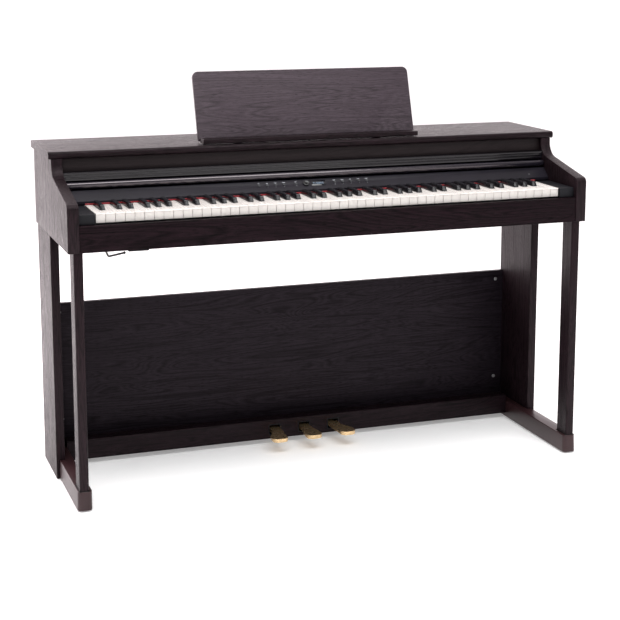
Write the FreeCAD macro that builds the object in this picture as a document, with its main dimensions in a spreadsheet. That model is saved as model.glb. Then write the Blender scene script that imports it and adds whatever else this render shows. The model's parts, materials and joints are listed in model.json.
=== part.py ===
import FreeCAD, Part
import Sketcher
import math
import os
from FreeCAD import Placement, Rotation, Vector

# A digital piano on its stand.
# Frame: origin on the floor under the middle of the case, +X to the player's right,
# +Y to the back, +Z up.  The player sits on the -Y side.  All sizes are millimetres.

os.makedirs("parts", exist_ok=True)
doc = FreeCAD.newDocument("digital_piano")

SIZES = [
    # overall
    ("case_width", 1378, "width over the top board"),
    ("case_depth", 468, "depth from knuckles to back panel"),
    ("case_height", 849, "floor to the top of the top board"),
    # cabinet
    ("top_thickness", 18, "top board thickness"),
    ("top_overhang", 7, "top board past each side board"),
    ("top_setback", 200, "top board front edge behind the knuckles"),
    ("nose_radius", 7, "rounding of the top board's front edge"),
    ("side_thickness", 28, "side board thickness"),
    ("side_height", 198, "side board height"),
    ("knuckle_height", 114, "front end of a side board"),
    ("cheek_slope", 12, "degrees, arm of a side board"),
    ("cheek_setback", 2.3, "its upright edge behind the top board's front"),
    ("cheek_radius", 40, "hollow where the arm meets the upright"),
    ("knuckle_radius", 14, "rounding of the knuckle"),
    ("edge_radius", 1.5, "softened board edges"),
    ("bottom_thickness", 15, "bottom board thickness"),
    ("bottom_inset", 7, "bottom board above the side boards' lower edge"),
    ("back_thickness", 8, "cabinet back panel thickness"),
    ("name_panel_height", 34, "upright panel under the top board"),
    ("name_panel_thickness", 12, "its thickness"),
    ("name_panel_recess", 14, "its face behind the top board's nose"),
    ("fascia_height", 20, "moulded rail under the name panel"),
    ("fascia_depth", 28, "front to back size of that rail"),
    ("fascia_lead", 6, "rail face in front of the top board's nose"),
    ("bead_depth", 1.2, "grooves cut in the rail"),
    ("bead_height", 2.4, "height of each groove"),
    ("low_bead_lift", 6, "lower groove over the rail's underside"),
    ("high_bead_lift", 12.4, "upper groove over the rail's underside"),
    # keyboard
    ("key_block_width", 43, "block between a side board and the first key"),
    ("key_drop", 127, "white key tops below the top of the case"),
    ("key_front_inset", 19, "white key fronts behind the knuckles"),
    ("key_length", 236, "white key front to its rear end"),
    ("key_lip", 22, "height of a white key's front"),
    ("key_lip_depth", 4, "thickness of that front wall"),
    ("key_body_height", 16, "height of a key behind its front"),
    ("key_gap", 1.0, "gap between white keys"),
    ("black_rise", 12, "black key tops above white key tops"),
    ("black_setback", 50, "black key fronts behind white key fronts"),
    ("black_width_share", 0.583, "black key slot over white key pitch"),
    ("black_top_inset", 1.6, "each flank of a black key leans in by this"),
    ("black_front_lean", 5, "slope of a black key's front"),
    ("black_gap", 0.6, "black key to each side of its slot"),
    ("black_notch", 1.5, "a white key's notch in front of a black key"),
    ("black_edge", 1.2, "rounding of a black key's crest"),
    ("white_edge", 0.8, "rounding of a white key's top"),
    ("key_visible", 131, "part of a white key in front of the felt"),
    ("pivot_setback", 227, "key pivot behind the white key fronts"),
    ("slip_gap", 2, "key fronts to the key slip"),
    ("slip_thickness", 15, "key slip board thickness"),
    ("slip_height", 64, "key slip board height"),
    ("block_gap", 1, "key block past the key slip's back"),
    ("block_setback", 6, "key block's rear end in front of the control panel"),
    ("felt_thickness", 4, "felt strip at the back of the keys"),
    ("felt_lift", 1, "felt strip over the white keys"),
    ("felt_height", 3, "felt strip height"),
    ("felt_gap", 1, "black key crests to the felt strip"),
    ("chassis_setback", 20, "steel plate behind the key fronts"),
    ("chassis_thickness", 6, "steel plate under the keys"),
    ("pivot_rail_width", 8, "rail that the keys rock on"),
    ("running_gap", 0.5, "clearance over the pivot rail"),
    # control panel
    ("panel_front_setback", 156, "control panel's lower edge behind the knuckles"),
    ("panel_run", 26, "horizontal run of the sloped panel"),
    ("panel_rise", 23, "rise of the sloped panel"),
    ("panel_lift", 9, "panel's lower edge above the white keys"),
    ("panel_wall", 4, "control panel wall"),
    ("panel_bend", 1.6, "step of the panel's inner corners"),
    ("panel_lip_gap", 2, "panel's lower lip over the white keys"),
    ("panel_ledge", 22, "flat ledge behind the slope"),
    ("dial_radius", 8, "selector dial radius"),
    ("dial_height", 4, "selector dial above the panel"),
    ("dial_gap", 0.5, "selector dial's underside over the panel"),
    ("dial_stem_radius", 4, "selector dial's stem radius"),
    ("dial_stem_depth", 8, "selector dial's stem under the panel"),
    ("hole_depth", 14, "depth of the holes cut through the panel"),
    ("hole_length", 20, "length of the cutters for those holes"),
    ("dial_place", -36, "selector dial from the middle"),
    ("row_lift", 3, "controls above the middle of the slope"),
    ("button_radius", 3.4, "button radius"),
    ("button_height", 1.2, "button above the panel"),
    ("button_depth", 6, "button length"),
    ("button_play", 0.3, "button to the wall of its hole"),
    ("power_place", -161.5, "power button from the middle"),
    ("left_button_place", -139.5, "first button left of the dial"),
    ("left_button_pitch", 22.2, "spacing of the left buttons"),
    ("left_button_extra", 10.2, "wider gap before the fourth left button"),
    ("right_button_place", 42.5, "first button right of the display"),
    ("right_button_pitch", 22.3, "spacing of the right buttons"),
    ("display_place", -2, "middle of the display from the middle"),
    ("display_width", 39, "display window width"),
    ("display_height", 17, "display window height"),
    ("display_recess", 0.8, "depth of the display's recess"),
    ("display_gap", 0.4, "display window to the edge of its recess"),
    ("display_rise", 0.2, "display window above the panel"),
    # key cover
    ("cover_slope", 8.3, "degrees, how the cover slides"),
    ("cover_bar_height", 16, "front bar height"),
    ("cover_bar_depth", 16, "front bar depth"),
    ("cover_bar_round", 6.5, "rounding of the bar's front edges"),
    ("cover_bar_lift", 36, "bar's lower edge above the white keys, when open"),
    ("cover_bar_setback", 178, "bar's front behind the knuckles, when open"),
    ("cover_side_gap", 3, "cover to each side board"),
    ("cover_plate_depth", 185, "plate behind the bar"),
    ("cover_plate_thickness", 8, "plate thickness"),
    ("guide_width", 20, "rail under each end of the plate"),
    ("guide_depth", 150, "length of those rails"),
    ("guide_thickness", 6, "thickness of those rails"),
    # music rest
    ("rest_width", 596, "music rest width"),
    ("rest_length", 178, "music rest above its pivot"),
    ("rest_thickness", 10, "music rest thickness"),
    ("rest_corner", 15, "rounding of its upper corners"),
    ("rest_tilt", 17.7, "degrees, lean of the rest"),
    ("rest_setback", 56, "pivot behind the top board's front edge"),
    ("rest_lift", 8, "pivot above the top board"),
    ("ledge_depth", 36, "ledge in front of the pivot"),
    ("ledge_height", 12, "ledge height"),
    ("ledge_gap", 2, "ledge over the top board"),
    ("ledge_inset", 4, "ledge ends inside the rest's ends"),
    ("rest_hinge_place", 190, "each hinge from the middle"),
    ("rest_ear_width", 20, "hinge ear width"),
    ("rest_ear_front", 2.75, "hinge ear in front of the pin"),
    ("rest_ear_back", 3, "hinge ear behind the pin"),
    ("rest_ear_rise", 3.2, "hinge ear above the pin"),
    ("rest_plate_back", 15, "hinge plate behind the pin"),
    ("rest_plate_thickness", 1.5, "hinge plate thickness"),
    ("rest_notch_gap", 2, "rest to each side of the ear"),
    ("rest_notch_rise", 4.6, "notch for the ear above the pin"),
    ("rest_pin_radius", 2, "hinge pin radius"),
    ("rest_pin_reach", 8, "pin past each side of the ear"),
    ("pin_play", 0.05, "pin to the wall of its hole"),
    # stand
    ("rear_leg_thickness", 22, "rear leg board thickness"),
    ("rear_leg_depth", 186, "rear leg board front to back"),
    ("rear_leg_inset", 28, "rear leg board in front of the case's back"),
    ("front_leg_width", 23, "front leg across"),
    ("front_leg_depth", 53, "front leg front to back"),
    ("front_leg_edge", 5, "rounding of the front leg's edges"),
    ("front_leg_inset", 13, "front leg inside the side board's outer face"),
    ("front_leg_setback", 4, "front leg behind the foot's front"),
    ("foot_width", 36.5, "foot across"),
    ("foot_height", 47, "foot height over its glides"),
    ("foot_inset", 7, "foot inside the side board's outer face"),
    ("foot_corner", 11, "rounding of the foot's front corners"),
    ("foot_tongue", 160, "foot's rear tongue beside the leg board"),
    ("glide_height", 3, "glides under the feet"),
    ("glide_radius", 8, "glide radius"),
    ("glide_inset", 24, "glide behind the foot's front or before the leg board"),
    ("stand_panel_height", 384, "stand back panel height"),
    ("stand_panel_base", 36, "its lower edge over the floor"),
    ("stand_panel_thickness", 15, "its thickness"),
    ("stand_panel_inset", 1, "its back in front of the leg boards' rear edges"),
    ("screw_radius", 5, "screw head radius"),
    ("screw_height", 2.5, "screw head height"),
    ("screw_inset", 24, "screws from each end and from the top of the panel"),
    ("screw_lift", 68, "lower screws over the panel's lower edge"),
    # pedals
    ("pedal_box_base", 14, "box over the floor"),
    ("pedal_box_height", 53, "box height"),
    ("pedal_box_setback", 344, "box face behind the knuckles"),
    ("pedal_box_depth", 40, "raised front part of the box"),
    ("pedal_box_tail", 38, "lower rear part of the box"),
    ("pedal_box_step", 17, "rear part below the front part"),
    ("pedal_box_wall", 6, "box wall"),
    ("pedal_box_edge", 3, "rounding of the box's upper front edge"),
    ("pedal_offset", 18, "middle pedal from the middle of the case"),
    ("pedal_root_pitch", 85, "spacing of the pedals in the box"),
    ("pedal_splay", 12, "how far the outer tips lean outwards"),
    ("pedal_neck", 27, "pedal width in the box"),
    ("pedal_tip", 42, "pedal width at the tip"),
    ("pedal_tip_round", 15, "rounding of a pedal's tip"),
    ("pedal_flare_round", 16, "rounding where a pedal widens"),
    ("pedal_neck_share", 0.27, "share of the reach where a pedal starts to widen"),
    ("pedal_flare_share", 0.68, "share of the reach where a pedal is at full width"),
    ("pedal_reach", 100, "pedal tip in front of the box"),
    ("pedal_thickness", 10, "pedal thickness"),
    ("pedal_height", 34, "pedal underside over the floor"),
    ("pedal_pivot", 20, "pivot rod behind the box face"),
    ("pedal_tail", 11, "pedal behind its pivot"),
    ("pivot_rod_radius", 3, "pedal pivot rod radius"),
    ("rod_overhang", 10.8, "rod past the outer pedals"),
    ("hanger_half_depth", 6, "rod's hangers around the rod"),
    ("hanger_thickness", 3, "hanger thickness"),
    ("slot_play", 2, "slot wider than the pedal, each side"),
    ("slot_height", 28, "slot height"),
    ("adjuster_place", 55, "adjuster from the middle of the case"),
    ("adjuster_radius", 16, "adjuster base radius"),
    ("adjuster_base", 9, "adjuster base height"),
    ("adjuster_stem", 5, "adjuster stem radius"),
    ("adjuster_stem_top", 26, "adjuster stem's top over the floor"),
    ("adjuster_setback", 15, "adjuster behind the box face"),
    # small fittings
    ("hook_place", 583, "hook's post from the middle"),
    ("hook_wire", 2.5, "hook wire radius"),
    ("hook_bend", 6, "radius of the wire's bend"),
    ("hook_drop", 15, "hook bar under the case"),
    ("hook_reach", 44, "hook bar length"),
    ("hook_setback", 22, "hook's post behind the knuckles"),
    ("hook_lean", 8, "hook's post leans outwards by this"),
    ("hook_root_gap", 2, "wire's upper end under the bottom board"),
    ("hook_swing", 24, "hook's end behind its post"),
    ("hook_tip_rise", 2, "hook's end above its bar"),
    ("hook_knob", 3.5, "radius of the knob at its end"),
    ("hook_plate_width", 34, "hook's plate width"),
    ("hook_plate_depth", 18, "hook's plate depth"),
    ("hook_plate_thickness", 2.5, "hook's plate thickness"),
    ("hook_plate_left", 20, "plate's left end outside the post"),
    ("hook_plate_front", 4, "plate's front edge before the post"),
    ("jack_box_width", 50, "headphone jack box width"),
    ("jack_box_height", 26, "its height"),
    ("jack_box_depth", 55, "its depth"),
    ("jack_box_place", 495, "its middle from the middle of the case"),
    ("jack_box_setback", 84, "its front behind the knuckles"),
    ("jack_radius", 3.2, "headphone socket radius"),
    ("jack_depth", 30, "headphone socket depth"),
    ("jack_pitch", 25, "headphone sockets apart"),
    ("rear_box_width", 120, "rear jack box width"),
    ("rear_box_height", 26, "its height"),
    ("rear_box_depth", 40, "its depth"),
    ("rear_box_place", 360, "its middle from the middle of the case"),
    ("rear_box_setback", 12, "its face in front of the case's back"),
    ("inlet_radius", 3, "power inlet radius"),
    ("inlet_depth", 12, "power inlet depth"),
    ("inlet_shift", 36, "power inlet from the middle of the box"),
    ("port_wide", 13, "flat port width"),
    ("port_low", 6, "flat port height"),
    ("port_square", 9, "square port side"),
    ("port_shift", 30, "square port from the middle of the box"),
    ("port_depth", 14, "depth of the ports"),
    ("speaker_radius", 58, "speaker frame radius"),
    ("speaker_rim", 5, "speaker frame thickness"),
    ("cone_radius", 51, "speaker cone radius at the frame"),
    ("cone_neck", 29, "speaker cone radius at the magnet"),
    ("cone_height", 28, "speaker cone height"),
    ("magnet_radius", 36, "speaker magnet radius"),
    ("magnet_height", 14, "speaker magnet height"),
    ("speaker_place", 470, "speaker from the middle of the case"),
    ("speaker_setback", 370, "speaker behind the knuckles"),
    ("vent_width", 84, "slots in the bottom board"),
    ("vent_gap", 5, "slot opening"),
    ("vent_pitch", 14, "slots apart"),
    ("vent_steps", 3, "slots on each side of the middle one"),
]


class Size:
    """A length that carries its number and the sheet expression that gives it."""

    def __init__(self, number, text):
        self.number = float(number)
        self.text = text

    def combine(self, other, sign):
        other = size_of(other)
        text = "(" + self.text + " " + sign + " " + other.text + ")"
        if sign == "+":
            return Size(self.number + other.number, text)
        if sign == "-":
            return Size(self.number - other.number, text)
        if sign == "*":
            return Size(self.number * other.number, text)
        return Size(self.number / other.number, text)

    def __add__(self, other):
        return self.combine(other, "+")

    def __radd__(self, other):
        return size_of(other).combine(self, "+")

    def __sub__(self, other):
        return self.combine(other, "-")

    def __rsub__(self, other):
        return size_of(other).combine(self, "-")

    def __mul__(self, other):
        return self.combine(other, "*")

    def __rmul__(self, other):
        return size_of(other).combine(self, "*")

    def __truediv__(self, other):
        return self.combine(other, "/")

    def __neg__(self):
        return size_of(0) - self


def size_of(value):
    """Turn a bare number into a Size."""
    if isinstance(value, Size):
        return value
    return Size(value, "(" + repr(float(value)) + ")")


def tangent(angle):
    return Size(math.tan(math.radians(angle.number)), "tan(" + angle.text + ")")


def cosine(angle):
    return Size(math.cos(math.radians(angle.number)), "cos(" + angle.text + ")")


def make_sheet():
    """Write every driving size to the sheet and return them by name."""
    sheet = doc.addObject("Spreadsheet::Sheet", "Sizes")
    named = {}
    for row, (name, number, note) in enumerate(SIZES, start=1):
        sheet.set("A%d" % row, name)
        sheet.set("B%d" % row, str(number))
        sheet.set("C%d" % row, note)
        sheet.setAlias("B%d" % row, name)
        named[name] = Size(number, "Sizes." + name)
    doc.recompute()
    return named


size = make_sheet()

PAST = 1
NEAR = 0.05

# PAST: how far a cutter runs past the face it cuts, in millimetres
# NEAR: how close two points count as the same

# ---------------------------------------------------------------- shared places
half_width = size["case_width"] / 2
front = -(size["case_depth"] / 2)
back = size["case_depth"] / 2
top_underside = size["case_height"] - size["top_thickness"]
side_outer = half_width - size["top_overhang"]
side_inner = side_outer - size["side_thickness"]
case_bottom = top_underside - size["side_height"]
top_front = front + size["top_setback"]
board_floor = case_bottom + size["bottom_inset"]
board_top = board_floor + size["bottom_thickness"]
back_face = back - size["back_thickness"]

key_top = size["case_height"] - size["key_drop"]
key_front = front + size["key_front_inset"]
key_rear = key_front + size["key_length"]
key_underside = key_top - size["key_body_height"]
pivot_y = key_front + size["pivot_setback"]
keys_half = side_inner - size["key_block_width"]
felt_front = key_front + size["key_visible"]
slip_back = key_front - size["slip_gap"]

panel_y = front + size["panel_front_setback"]
panel_z = key_top + size["panel_lift"]
panel_back = panel_y + size["panel_run"] + size["panel_ledge"]
panel_top = panel_z + size["panel_rise"]

name_face = top_front + size["name_panel_recess"]
name_floor = top_underside - size["name_panel_height"]

rest_y = top_front + size["rest_setback"]
rest_z = size["case_height"] + size["rest_lift"]

leg_back = back - size["rear_leg_inset"]
leg_front = leg_back - size["rear_leg_depth"]
leg_inner = side_outer - size["rear_leg_thickness"]
foot_outer = side_outer - size["foot_inset"]
foot_inner = foot_outer - size["foot_width"]
foot_top = size["glide_height"] + size["foot_height"]

box_face = front + size["pedal_box_setback"]
box_top = size["pedal_box_base"] + size["pedal_box_height"]
box_knee = box_face + size["pedal_box_depth"]
box_back = box_knee + size["pedal_box_tail"]
pedal_pivot_y = box_face + size["pedal_pivot"]
pedal_pivot_z = size["pedal_height"] + size["pedal_thickness"] / 2


# ---------------------------------------------------------------- modelling helpers
def bind(thing, path, value):
    """Tie a property to the sheet."""
    value = size_of(value)
    thing.setExpression(path, value.text)


def origin_plane(body, role):
    for feature in body.Origin.OriginFeatures:
        if feature.Role == role:
            return feature
    raise ValueError("no plane " + role)


def new_sketch(body, name, role, start):
    """A sketch on one of the body's own origin planes, moved along its normal."""
    sketch = body.newObject("Sketcher::SketchObject", name)
    sketch.AttachmentSupport = [(origin_plane(body, role), "")]
    sketch.MapMode = "FlatFace"
    bind(sketch, "AttachmentOffset.Base.z", start)
    return sketch


def draw_outline(sketch, corners):
    """A closed outline whose corners are all tied to the sheet."""
    corners = [(size_of(across), size_of(up)) for across, up in corners]
    points = [Vector(across.number, up.number, 0) for across, up in corners]
    first = sketch.GeometryCount
    count = len(points)
    for index in range(count):
        sketch.addGeometry(Part.LineSegment(points[index], points[(index + 1) % count]), False)
    for index in range(count):
        after = first + (index + 1) % count
        sketch.addConstraint(Sketcher.Constraint("Coincident", first + index, 2, after, 1))
    for index, (across, up) in enumerate(corners):
        for kind, value in (("DistanceX", across), ("DistanceY", up)):
            rule = Sketcher.Constraint(kind, -1, 1, first + index, 1, value.number)
            place = sketch.addConstraint(rule)
            sketch.setExpression("Constraints[%d]" % place, value.text)


def draw_circle(sketch, across, up, radius):
    """A circle whose centre and radius are tied to the sheet."""
    across = size_of(across)
    up = size_of(up)
    radius = size_of(radius)
    centre = Vector(across.number, up.number, 0)
    ring = sketch.addGeometry(Part.Circle(centre, Vector(0, 0, 1), radius.number), False)
    rules = (("DistanceX", across), ("DistanceY", up))
    for kind, value in rules:
        place = sketch.addConstraint(Sketcher.Constraint(kind, -1, 1, ring, 3, value.number))
        sketch.setExpression("Constraints[%d]" % place, value.text)
    place = sketch.addConstraint(Sketcher.Constraint("Radius", ring, radius.number))
    sketch.setExpression("Constraints[%d]" % place, radius.text)


def new_body(label):
    body = doc.addObject("PartDesign::Body", label)
    body.Label = label
    return body


def add_pad(body, name, sketch, length):
    pad = body.newObject("PartDesign::Pad", name)
    pad.Profile = sketch
    bind(pad, "Length", length)
    doc.recompute()
    return pad


def cut_pocket(body, name, sketch, length, reversed_cut=False):
    """Cut a pocket, and make sure that it really took material away."""
    before = body.Tip.Shape.Volume
    pocket = body.newObject("PartDesign::Pocket", name)
    pocket.Profile = sketch
    bind(pocket, "Length", length)
    pocket.Reversed = reversed_cut
    doc.recompute()
    if pocket.Shape.Volume >= before - 0.01:
        raise ValueError(name + " cuts nothing")
    return pocket


def rectangle(left, low, right, high):
    return [(left, low), (right, low), (right, high), (left, high)]


def slab(label, role, corners, start, length):
    """A body padded from one outline: the way most boards are made."""
    body = new_body(label)
    sketch = new_sketch(body, label + "_outline", role, start)
    draw_outline(sketch, corners)
    add_pad(body, label + "_pad", sketch, length)
    return body


def board(label, low, high):
    """A rectangular board between two corners."""
    outline = rectangle(low[0], low[1], high[0], high[1])
    return slab(label, "XY_Plane", outline, low[2], size_of(high[2]) - low[2])


PLANE_AXES = {"XY_Plane": (0, 1), "XZ_Plane": (0, 2), "YZ_Plane": (1, 2)}


def round_corner(body, role, across, up, radius):
    """Round the long edge that stands on one corner of the outline."""
    first, second = PLANE_AXES[role]
    target = (size_of(across).number, size_of(up).number)
    base = body.Tip
    chosen = []
    for index, edge in enumerate(base.Shape.Edges, start=1):
        ends = [vertex.Point for vertex in edge.Vertexes]
        near = [math.hypot(end[first] - target[0], end[second] - target[1]) < NEAR for end in ends]
        if len(ends) == 2 and all(near):
            chosen.append("Edge%d" % index)
    if not chosen:
        raise ValueError(body.Label + " has no such corner")
    fillet = body.newObject("PartDesign::Fillet", body.Label + "_round")
    fillet.Base = (base, chosen)
    bind(fillet, "Radius", radius)
    doc.recompute()


def soften(body, radius, longer_than=30):
    """Round the straight edges of a board that are longer than a given length."""
    square_enough = 0.2
    base = body.Tip
    chosen = []
    for index, edge in enumerate(base.Shape.Edges, start=1):
        if edge.Curve.TypeId != "Part::GeomLine" or edge.Length < longer_than:
            continue
        faces = base.Shape.ancestorsOfType(edge, Part.Face)
        normals = [face.normalAt(*face.Surface.parameter(edge.CenterOfMass)) for face in faces]
        if len(normals) == 2 and abs(normals[0].dot(normals[1])) < square_enough:
            chosen.append("Edge%d" % index)
    fillet = body.newObject("PartDesign::Fillet", body.Label + "_soft")
    fillet.Base = (base, chosen)
    bind(fillet, "Radius", radius)
    doc.recompute()


def place_body(body, y, z, angle):
    """Set a body down at a height and depth, turned about X."""
    y = size_of(y)
    z = size_of(z)
    angle = size_of(angle)
    turn = Rotation(Vector(1, 0, 0), angle.number)
    body.Placement = Placement(Vector(0, y.number, z.number), turn)
    bind(body, "Placement.Base.y", y)
    bind(body, "Placement.Base.z", z)
    bind(body, "Placement.Rotation.Angle", angle)


def cylinder(name, radius, height, x, y, z):
    rod = doc.addObject("Part::Cylinder", name)
    bind(rod, "Radius", radius)
    bind(rod, "Height", height)
    bind(rod, "Placement.Base.x", x)
    bind(rod, "Placement.Base.y", y)
    bind(rod, "Placement.Base.z", z)
    return rod


def lying_cylinder(name, radius, low_x, high_x, y, z):
    """A round rod that lies along X."""
    rod = doc.addObject("Part::Cylinder", name)
    rod.Placement = Placement(Vector(0, 0, 0), Rotation(Vector(0, 1, 0), 90))
    bind(rod, "Radius", radius)
    bind(rod, "Height", size_of(high_x) - low_x)
    bind(rod, "Placement.Base.x", low_x)
    bind(rod, "Placement.Base.y", y)
    bind(rod, "Placement.Base.z", z)
    return rod


def box(name, low, high):
    block = doc.addObject("Part::Box", name)
    for side, start, end in zip(("Length", "Width", "Height"), low, high):
        bind(block, side, size_of(end) - start)
    for axis, start in zip("xyz", low):
        bind(block, "Placement.Base." + axis, start)
    return block


def fuse(label, pieces):
    joined = doc.addObject("Part::MultiFuse", label)
    joined.Shapes = pieces
    joined.Label = label
    return joined


def group(label, pieces):
    """Pieces of one kind that share a file."""
    together = doc.addObject("Part::Compound", label)
    together.Links = pieces
    together.Label = label
    return together


sub_parts = []


def keep(part):
    sub_parts.append(part)
    return part


SIDES = (("left", -1), ("right", 1))


def span(sign, inner, outer):
    """Low and high x of something on the left (-1) or right (+1)."""
    if sign < 0:
        return (-outer, -inner)
    return (inner, outer)


# ---------------------------------------------------------------- cabinet
def make_side_boards():
    """Side boards with an arm that slopes down to a rounded knuckle."""
    knuckle = case_bottom + size["knuckle_height"]
    upright = top_front + size["cheek_setback"]
    arm_end = knuckle + (upright - front) * tangent(size["cheek_slope"])
    outline = [
        (back, case_bottom),
        (back, top_underside),
        (upright, top_underside),
        (upright, arm_end),
        (front, knuckle),
        (front, case_bottom),
    ]
    for side, sign in SIDES:
        low, high = span(sign, side_inner, side_outer)
        body = slab(side + "_side_board", "YZ_Plane", outline, low, high - low)
        round_corner(body, "YZ_Plane", upright, arm_end, size["cheek_radius"])
        round_corner(body, "YZ_Plane", front, knuckle, size["knuckle_radius"])
        keep(body)


def make_top_board():
    outline = rectangle(top_front, top_underside, back, size["case_height"])
    body = slab("top_board", "YZ_Plane", outline, -half_width, size["case_width"])
    round_corner(body, "YZ_Plane", top_front, top_underside, size["nose_radius"])
    round_corner(body, "YZ_Plane", top_front, size["case_height"], size["nose_radius"])
    keep(body)


def make_name_panel():
    low = (-side_inner, name_face, name_floor)
    high = (side_inner, name_face + size["name_panel_thickness"], top_underside)
    keep(board("name_panel", low, high))


def make_fascia_rail():
    """A rail with two shallow grooves along its face."""
    face = top_front - size["fascia_lead"]
    floor = name_floor - size["fascia_height"]
    outline = rectangle(face, floor, face + size["fascia_depth"], name_floor)
    body = slab("fascia_rail", "YZ_Plane", outline, -side_inner, side_inner * 2)
    grooves = new_sketch(body, "fascia_rail_grooves", "YZ_Plane", -side_inner)
    for lift in (size["low_bead_lift"], size["high_bead_lift"]):
        low = floor + lift
        high = low + size["bead_height"]
        draw_outline(grooves, rectangle(face - PAST, low, face + size["bead_depth"], high))
    cut_pocket(body, "fascia_rail_cut", grooves, side_inner * 2, True)
    keep(body)


def make_bottom_board():
    """The bottom board, with slots under each speaker and a rear edge at the back panel."""
    outline = rectangle(-side_inner, slip_back, side_inner, back_face)
    body = slab("bottom_board", "XY_Plane", outline, board_floor, size["bottom_thickness"])
    vents = new_sketch(body, "bottom_board_vents", "XY_Plane", board_floor)
    speaker_y = front + size["speaker_setback"]
    for side, sign in SIDES:
        middle = size["speaker_place"] * sign
        steps = int(size["vent_steps"].number)
        for step in range(-steps, steps + 1):
            low = speaker_y + size["vent_pitch"] * step - size["vent_gap"] / 2
            left = middle - size["vent_width"] / 2
            right = middle + size["vent_width"] / 2
            draw_outline(vents, rectangle(left, low, right, low + size["vent_gap"]))
    cut_pocket(body, "bottom_board_cut", vents, size["bottom_thickness"], True)
    keep(body)


def make_back_panel():
    """The cabinet's thin back, between the side boards."""
    low = (-side_inner, back_face, board_floor)
    high = (side_inner, back, top_underside)
    keep(board("cabinet_back_panel", low, high))


def make_key_slip():
    low = (-side_inner, slip_back - size["slip_thickness"], case_bottom)
    high = (side_inner, slip_back, case_bottom + size["slip_height"])
    body = board("key_slip", low, high)
    soften(body, size["edge_radius"])
    keep(body)


def make_key_blocks():
    for side, sign in SIDES:
        low, high = span(sign, keys_half + size["slip_gap"], side_inner)
        block_low = (low, slip_back - size["block_gap"], case_bottom + size["slip_height"])
        block_high = (high, panel_y - size["block_setback"], key_top)
        body = board(side + "_key_block", block_low, block_high)
        soften(body, size["edge_radius"])
        keep(body)


# ---------------------------------------------------------------- keyboard bed
def make_key_bed():
    """The steel chassis with the rail that the keys rock on, and the felt at their backs."""
    plate_low = (-keys_half, key_front + size["chassis_setback"], board_top)
    plate_high = (keys_half, key_rear, board_top + size["chassis_thickness"])
    keep(board("key_chassis", plate_low, plate_high))
    rail_half = size["pivot_rail_width"] / 2
    rail_low = (-keys_half, pivot_y - rail_half, board_top + size["chassis_thickness"])
    rail_high = (keys_half, pivot_y + rail_half, key_underside - size["running_gap"])
    rail = board("key_pivot_rail", rail_low, rail_high)
    keep(rail)
    felt_floor = key_top + size["felt_lift"]
    felt_low = (-keys_half, felt_front, felt_floor)
    felt_high = (keys_half, felt_front + size["felt_thickness"], felt_floor + size["felt_height"])
    keep(board("key_felt_strip", felt_low, felt_high))


WHITE_NAMES = "CDEFGAB"
BLACK_AFTER = "CDFGA"
WHITE_COUNT = 52
LOWEST_WHITE = 5
MIDDLE_OCTAVE = 4


def white_name(index):
    """Letter and octave of a white key, counted from the lowest A."""
    place = index + LOWEST_WHITE
    return WHITE_NAMES[place % 7], place // 7


def black_slots(pitch, slot):
    """Left edge of each black key's slot, from the left edge of the octave."""
    low_tail = (3 * pitch - 2 * slot) / 3
    high_tail = (4 * pitch - 3 * slot) / 4
    edges = {}
    edges["C"] = low_tail
    edges["D"] = 2 * low_tail + slot
    edges["F"] = 3 * pitch + high_tail
    edges["G"] = 3 * pitch + 2 * high_tail + slot
    edges["A"] = 3 * pitch + 3 * high_tail + 2 * slot
    return edges


def key_sizes():
    """The numbers that shape the keys, read once from the sheet."""
    pitch = 2 * keys_half.number / WHITE_COUNT
    slot = pitch * size["black_width_share"].number
    return pitch, slot


def octave_left(octave):
    pitch, slot = key_sizes()
    return -keys_half.number + (octave * 7 - LOWEST_WHITE) * pitch


def white_key_shape(index):
    """One white key: wide in front, narrower between its black neighbours."""
    pitch, slot = key_sizes()
    letter, octave = white_name(index)
    edges = black_slots(pitch, slot)
    base = octave_left(octave)
    half_gap = size["key_gap"].number / 2
    left = -keys_half.number + index * pitch + half_gap
    right = left + pitch - 2 * half_gap
    tail_left = left
    tail_right = right
    previous = WHITE_NAMES[WHITE_NAMES.index(letter) - 1]
    if previous in BLACK_AFTER and index > 0:
        tail_left = base + edges[previous] + slot + half_gap
    if letter in BLACK_AFTER and index < WHITE_COUNT - 1:
        tail_right = base + edges[letter] - half_gap
    face = key_front.number
    notch = face + size["black_setback"].number - size["black_notch"].number
    rear = key_rear.number
    plan = [
        (left, face),
        (right, face),
        (right, notch),
        (tail_right, notch),
        (tail_right, rear),
        (tail_left, rear),
        (tail_left, notch),
        (left, notch),
    ]
    points = []
    for x, y in plan:
        point = Vector(x, y, key_underside.number)
        if not points or (point - points[-1]).Length > NEAR:
            points.append(point)
    wire = Part.makePolygon(points + [points[0]])
    body = Part.Face(wire).extrude(Vector(0, 0, size["key_body_height"].number))
    lip_floor = key_top.number - size["key_lip"].number
    lip = Part.makeBox(right - left, size["key_lip_depth"].number, size["key_lip"].number)
    lip.translate(Vector(left, face, lip_floor))
    key = body.fuse(lip).removeSplitter()
    rounded = []
    for edge in key.Edges:
        on_top = all(abs(vertex.Z - key_top.number) < NEAR for vertex in edge.Vertexes)
        in_front = edge.BoundBox.YMax < notch + NEAR
        across_notch = edge.BoundBox.YMin > notch - NEAR
        if on_top and in_front and not across_notch:
            rounded.append(edge)
    return key.makeFillet(size["white_edge"].number, rounded)


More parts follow.
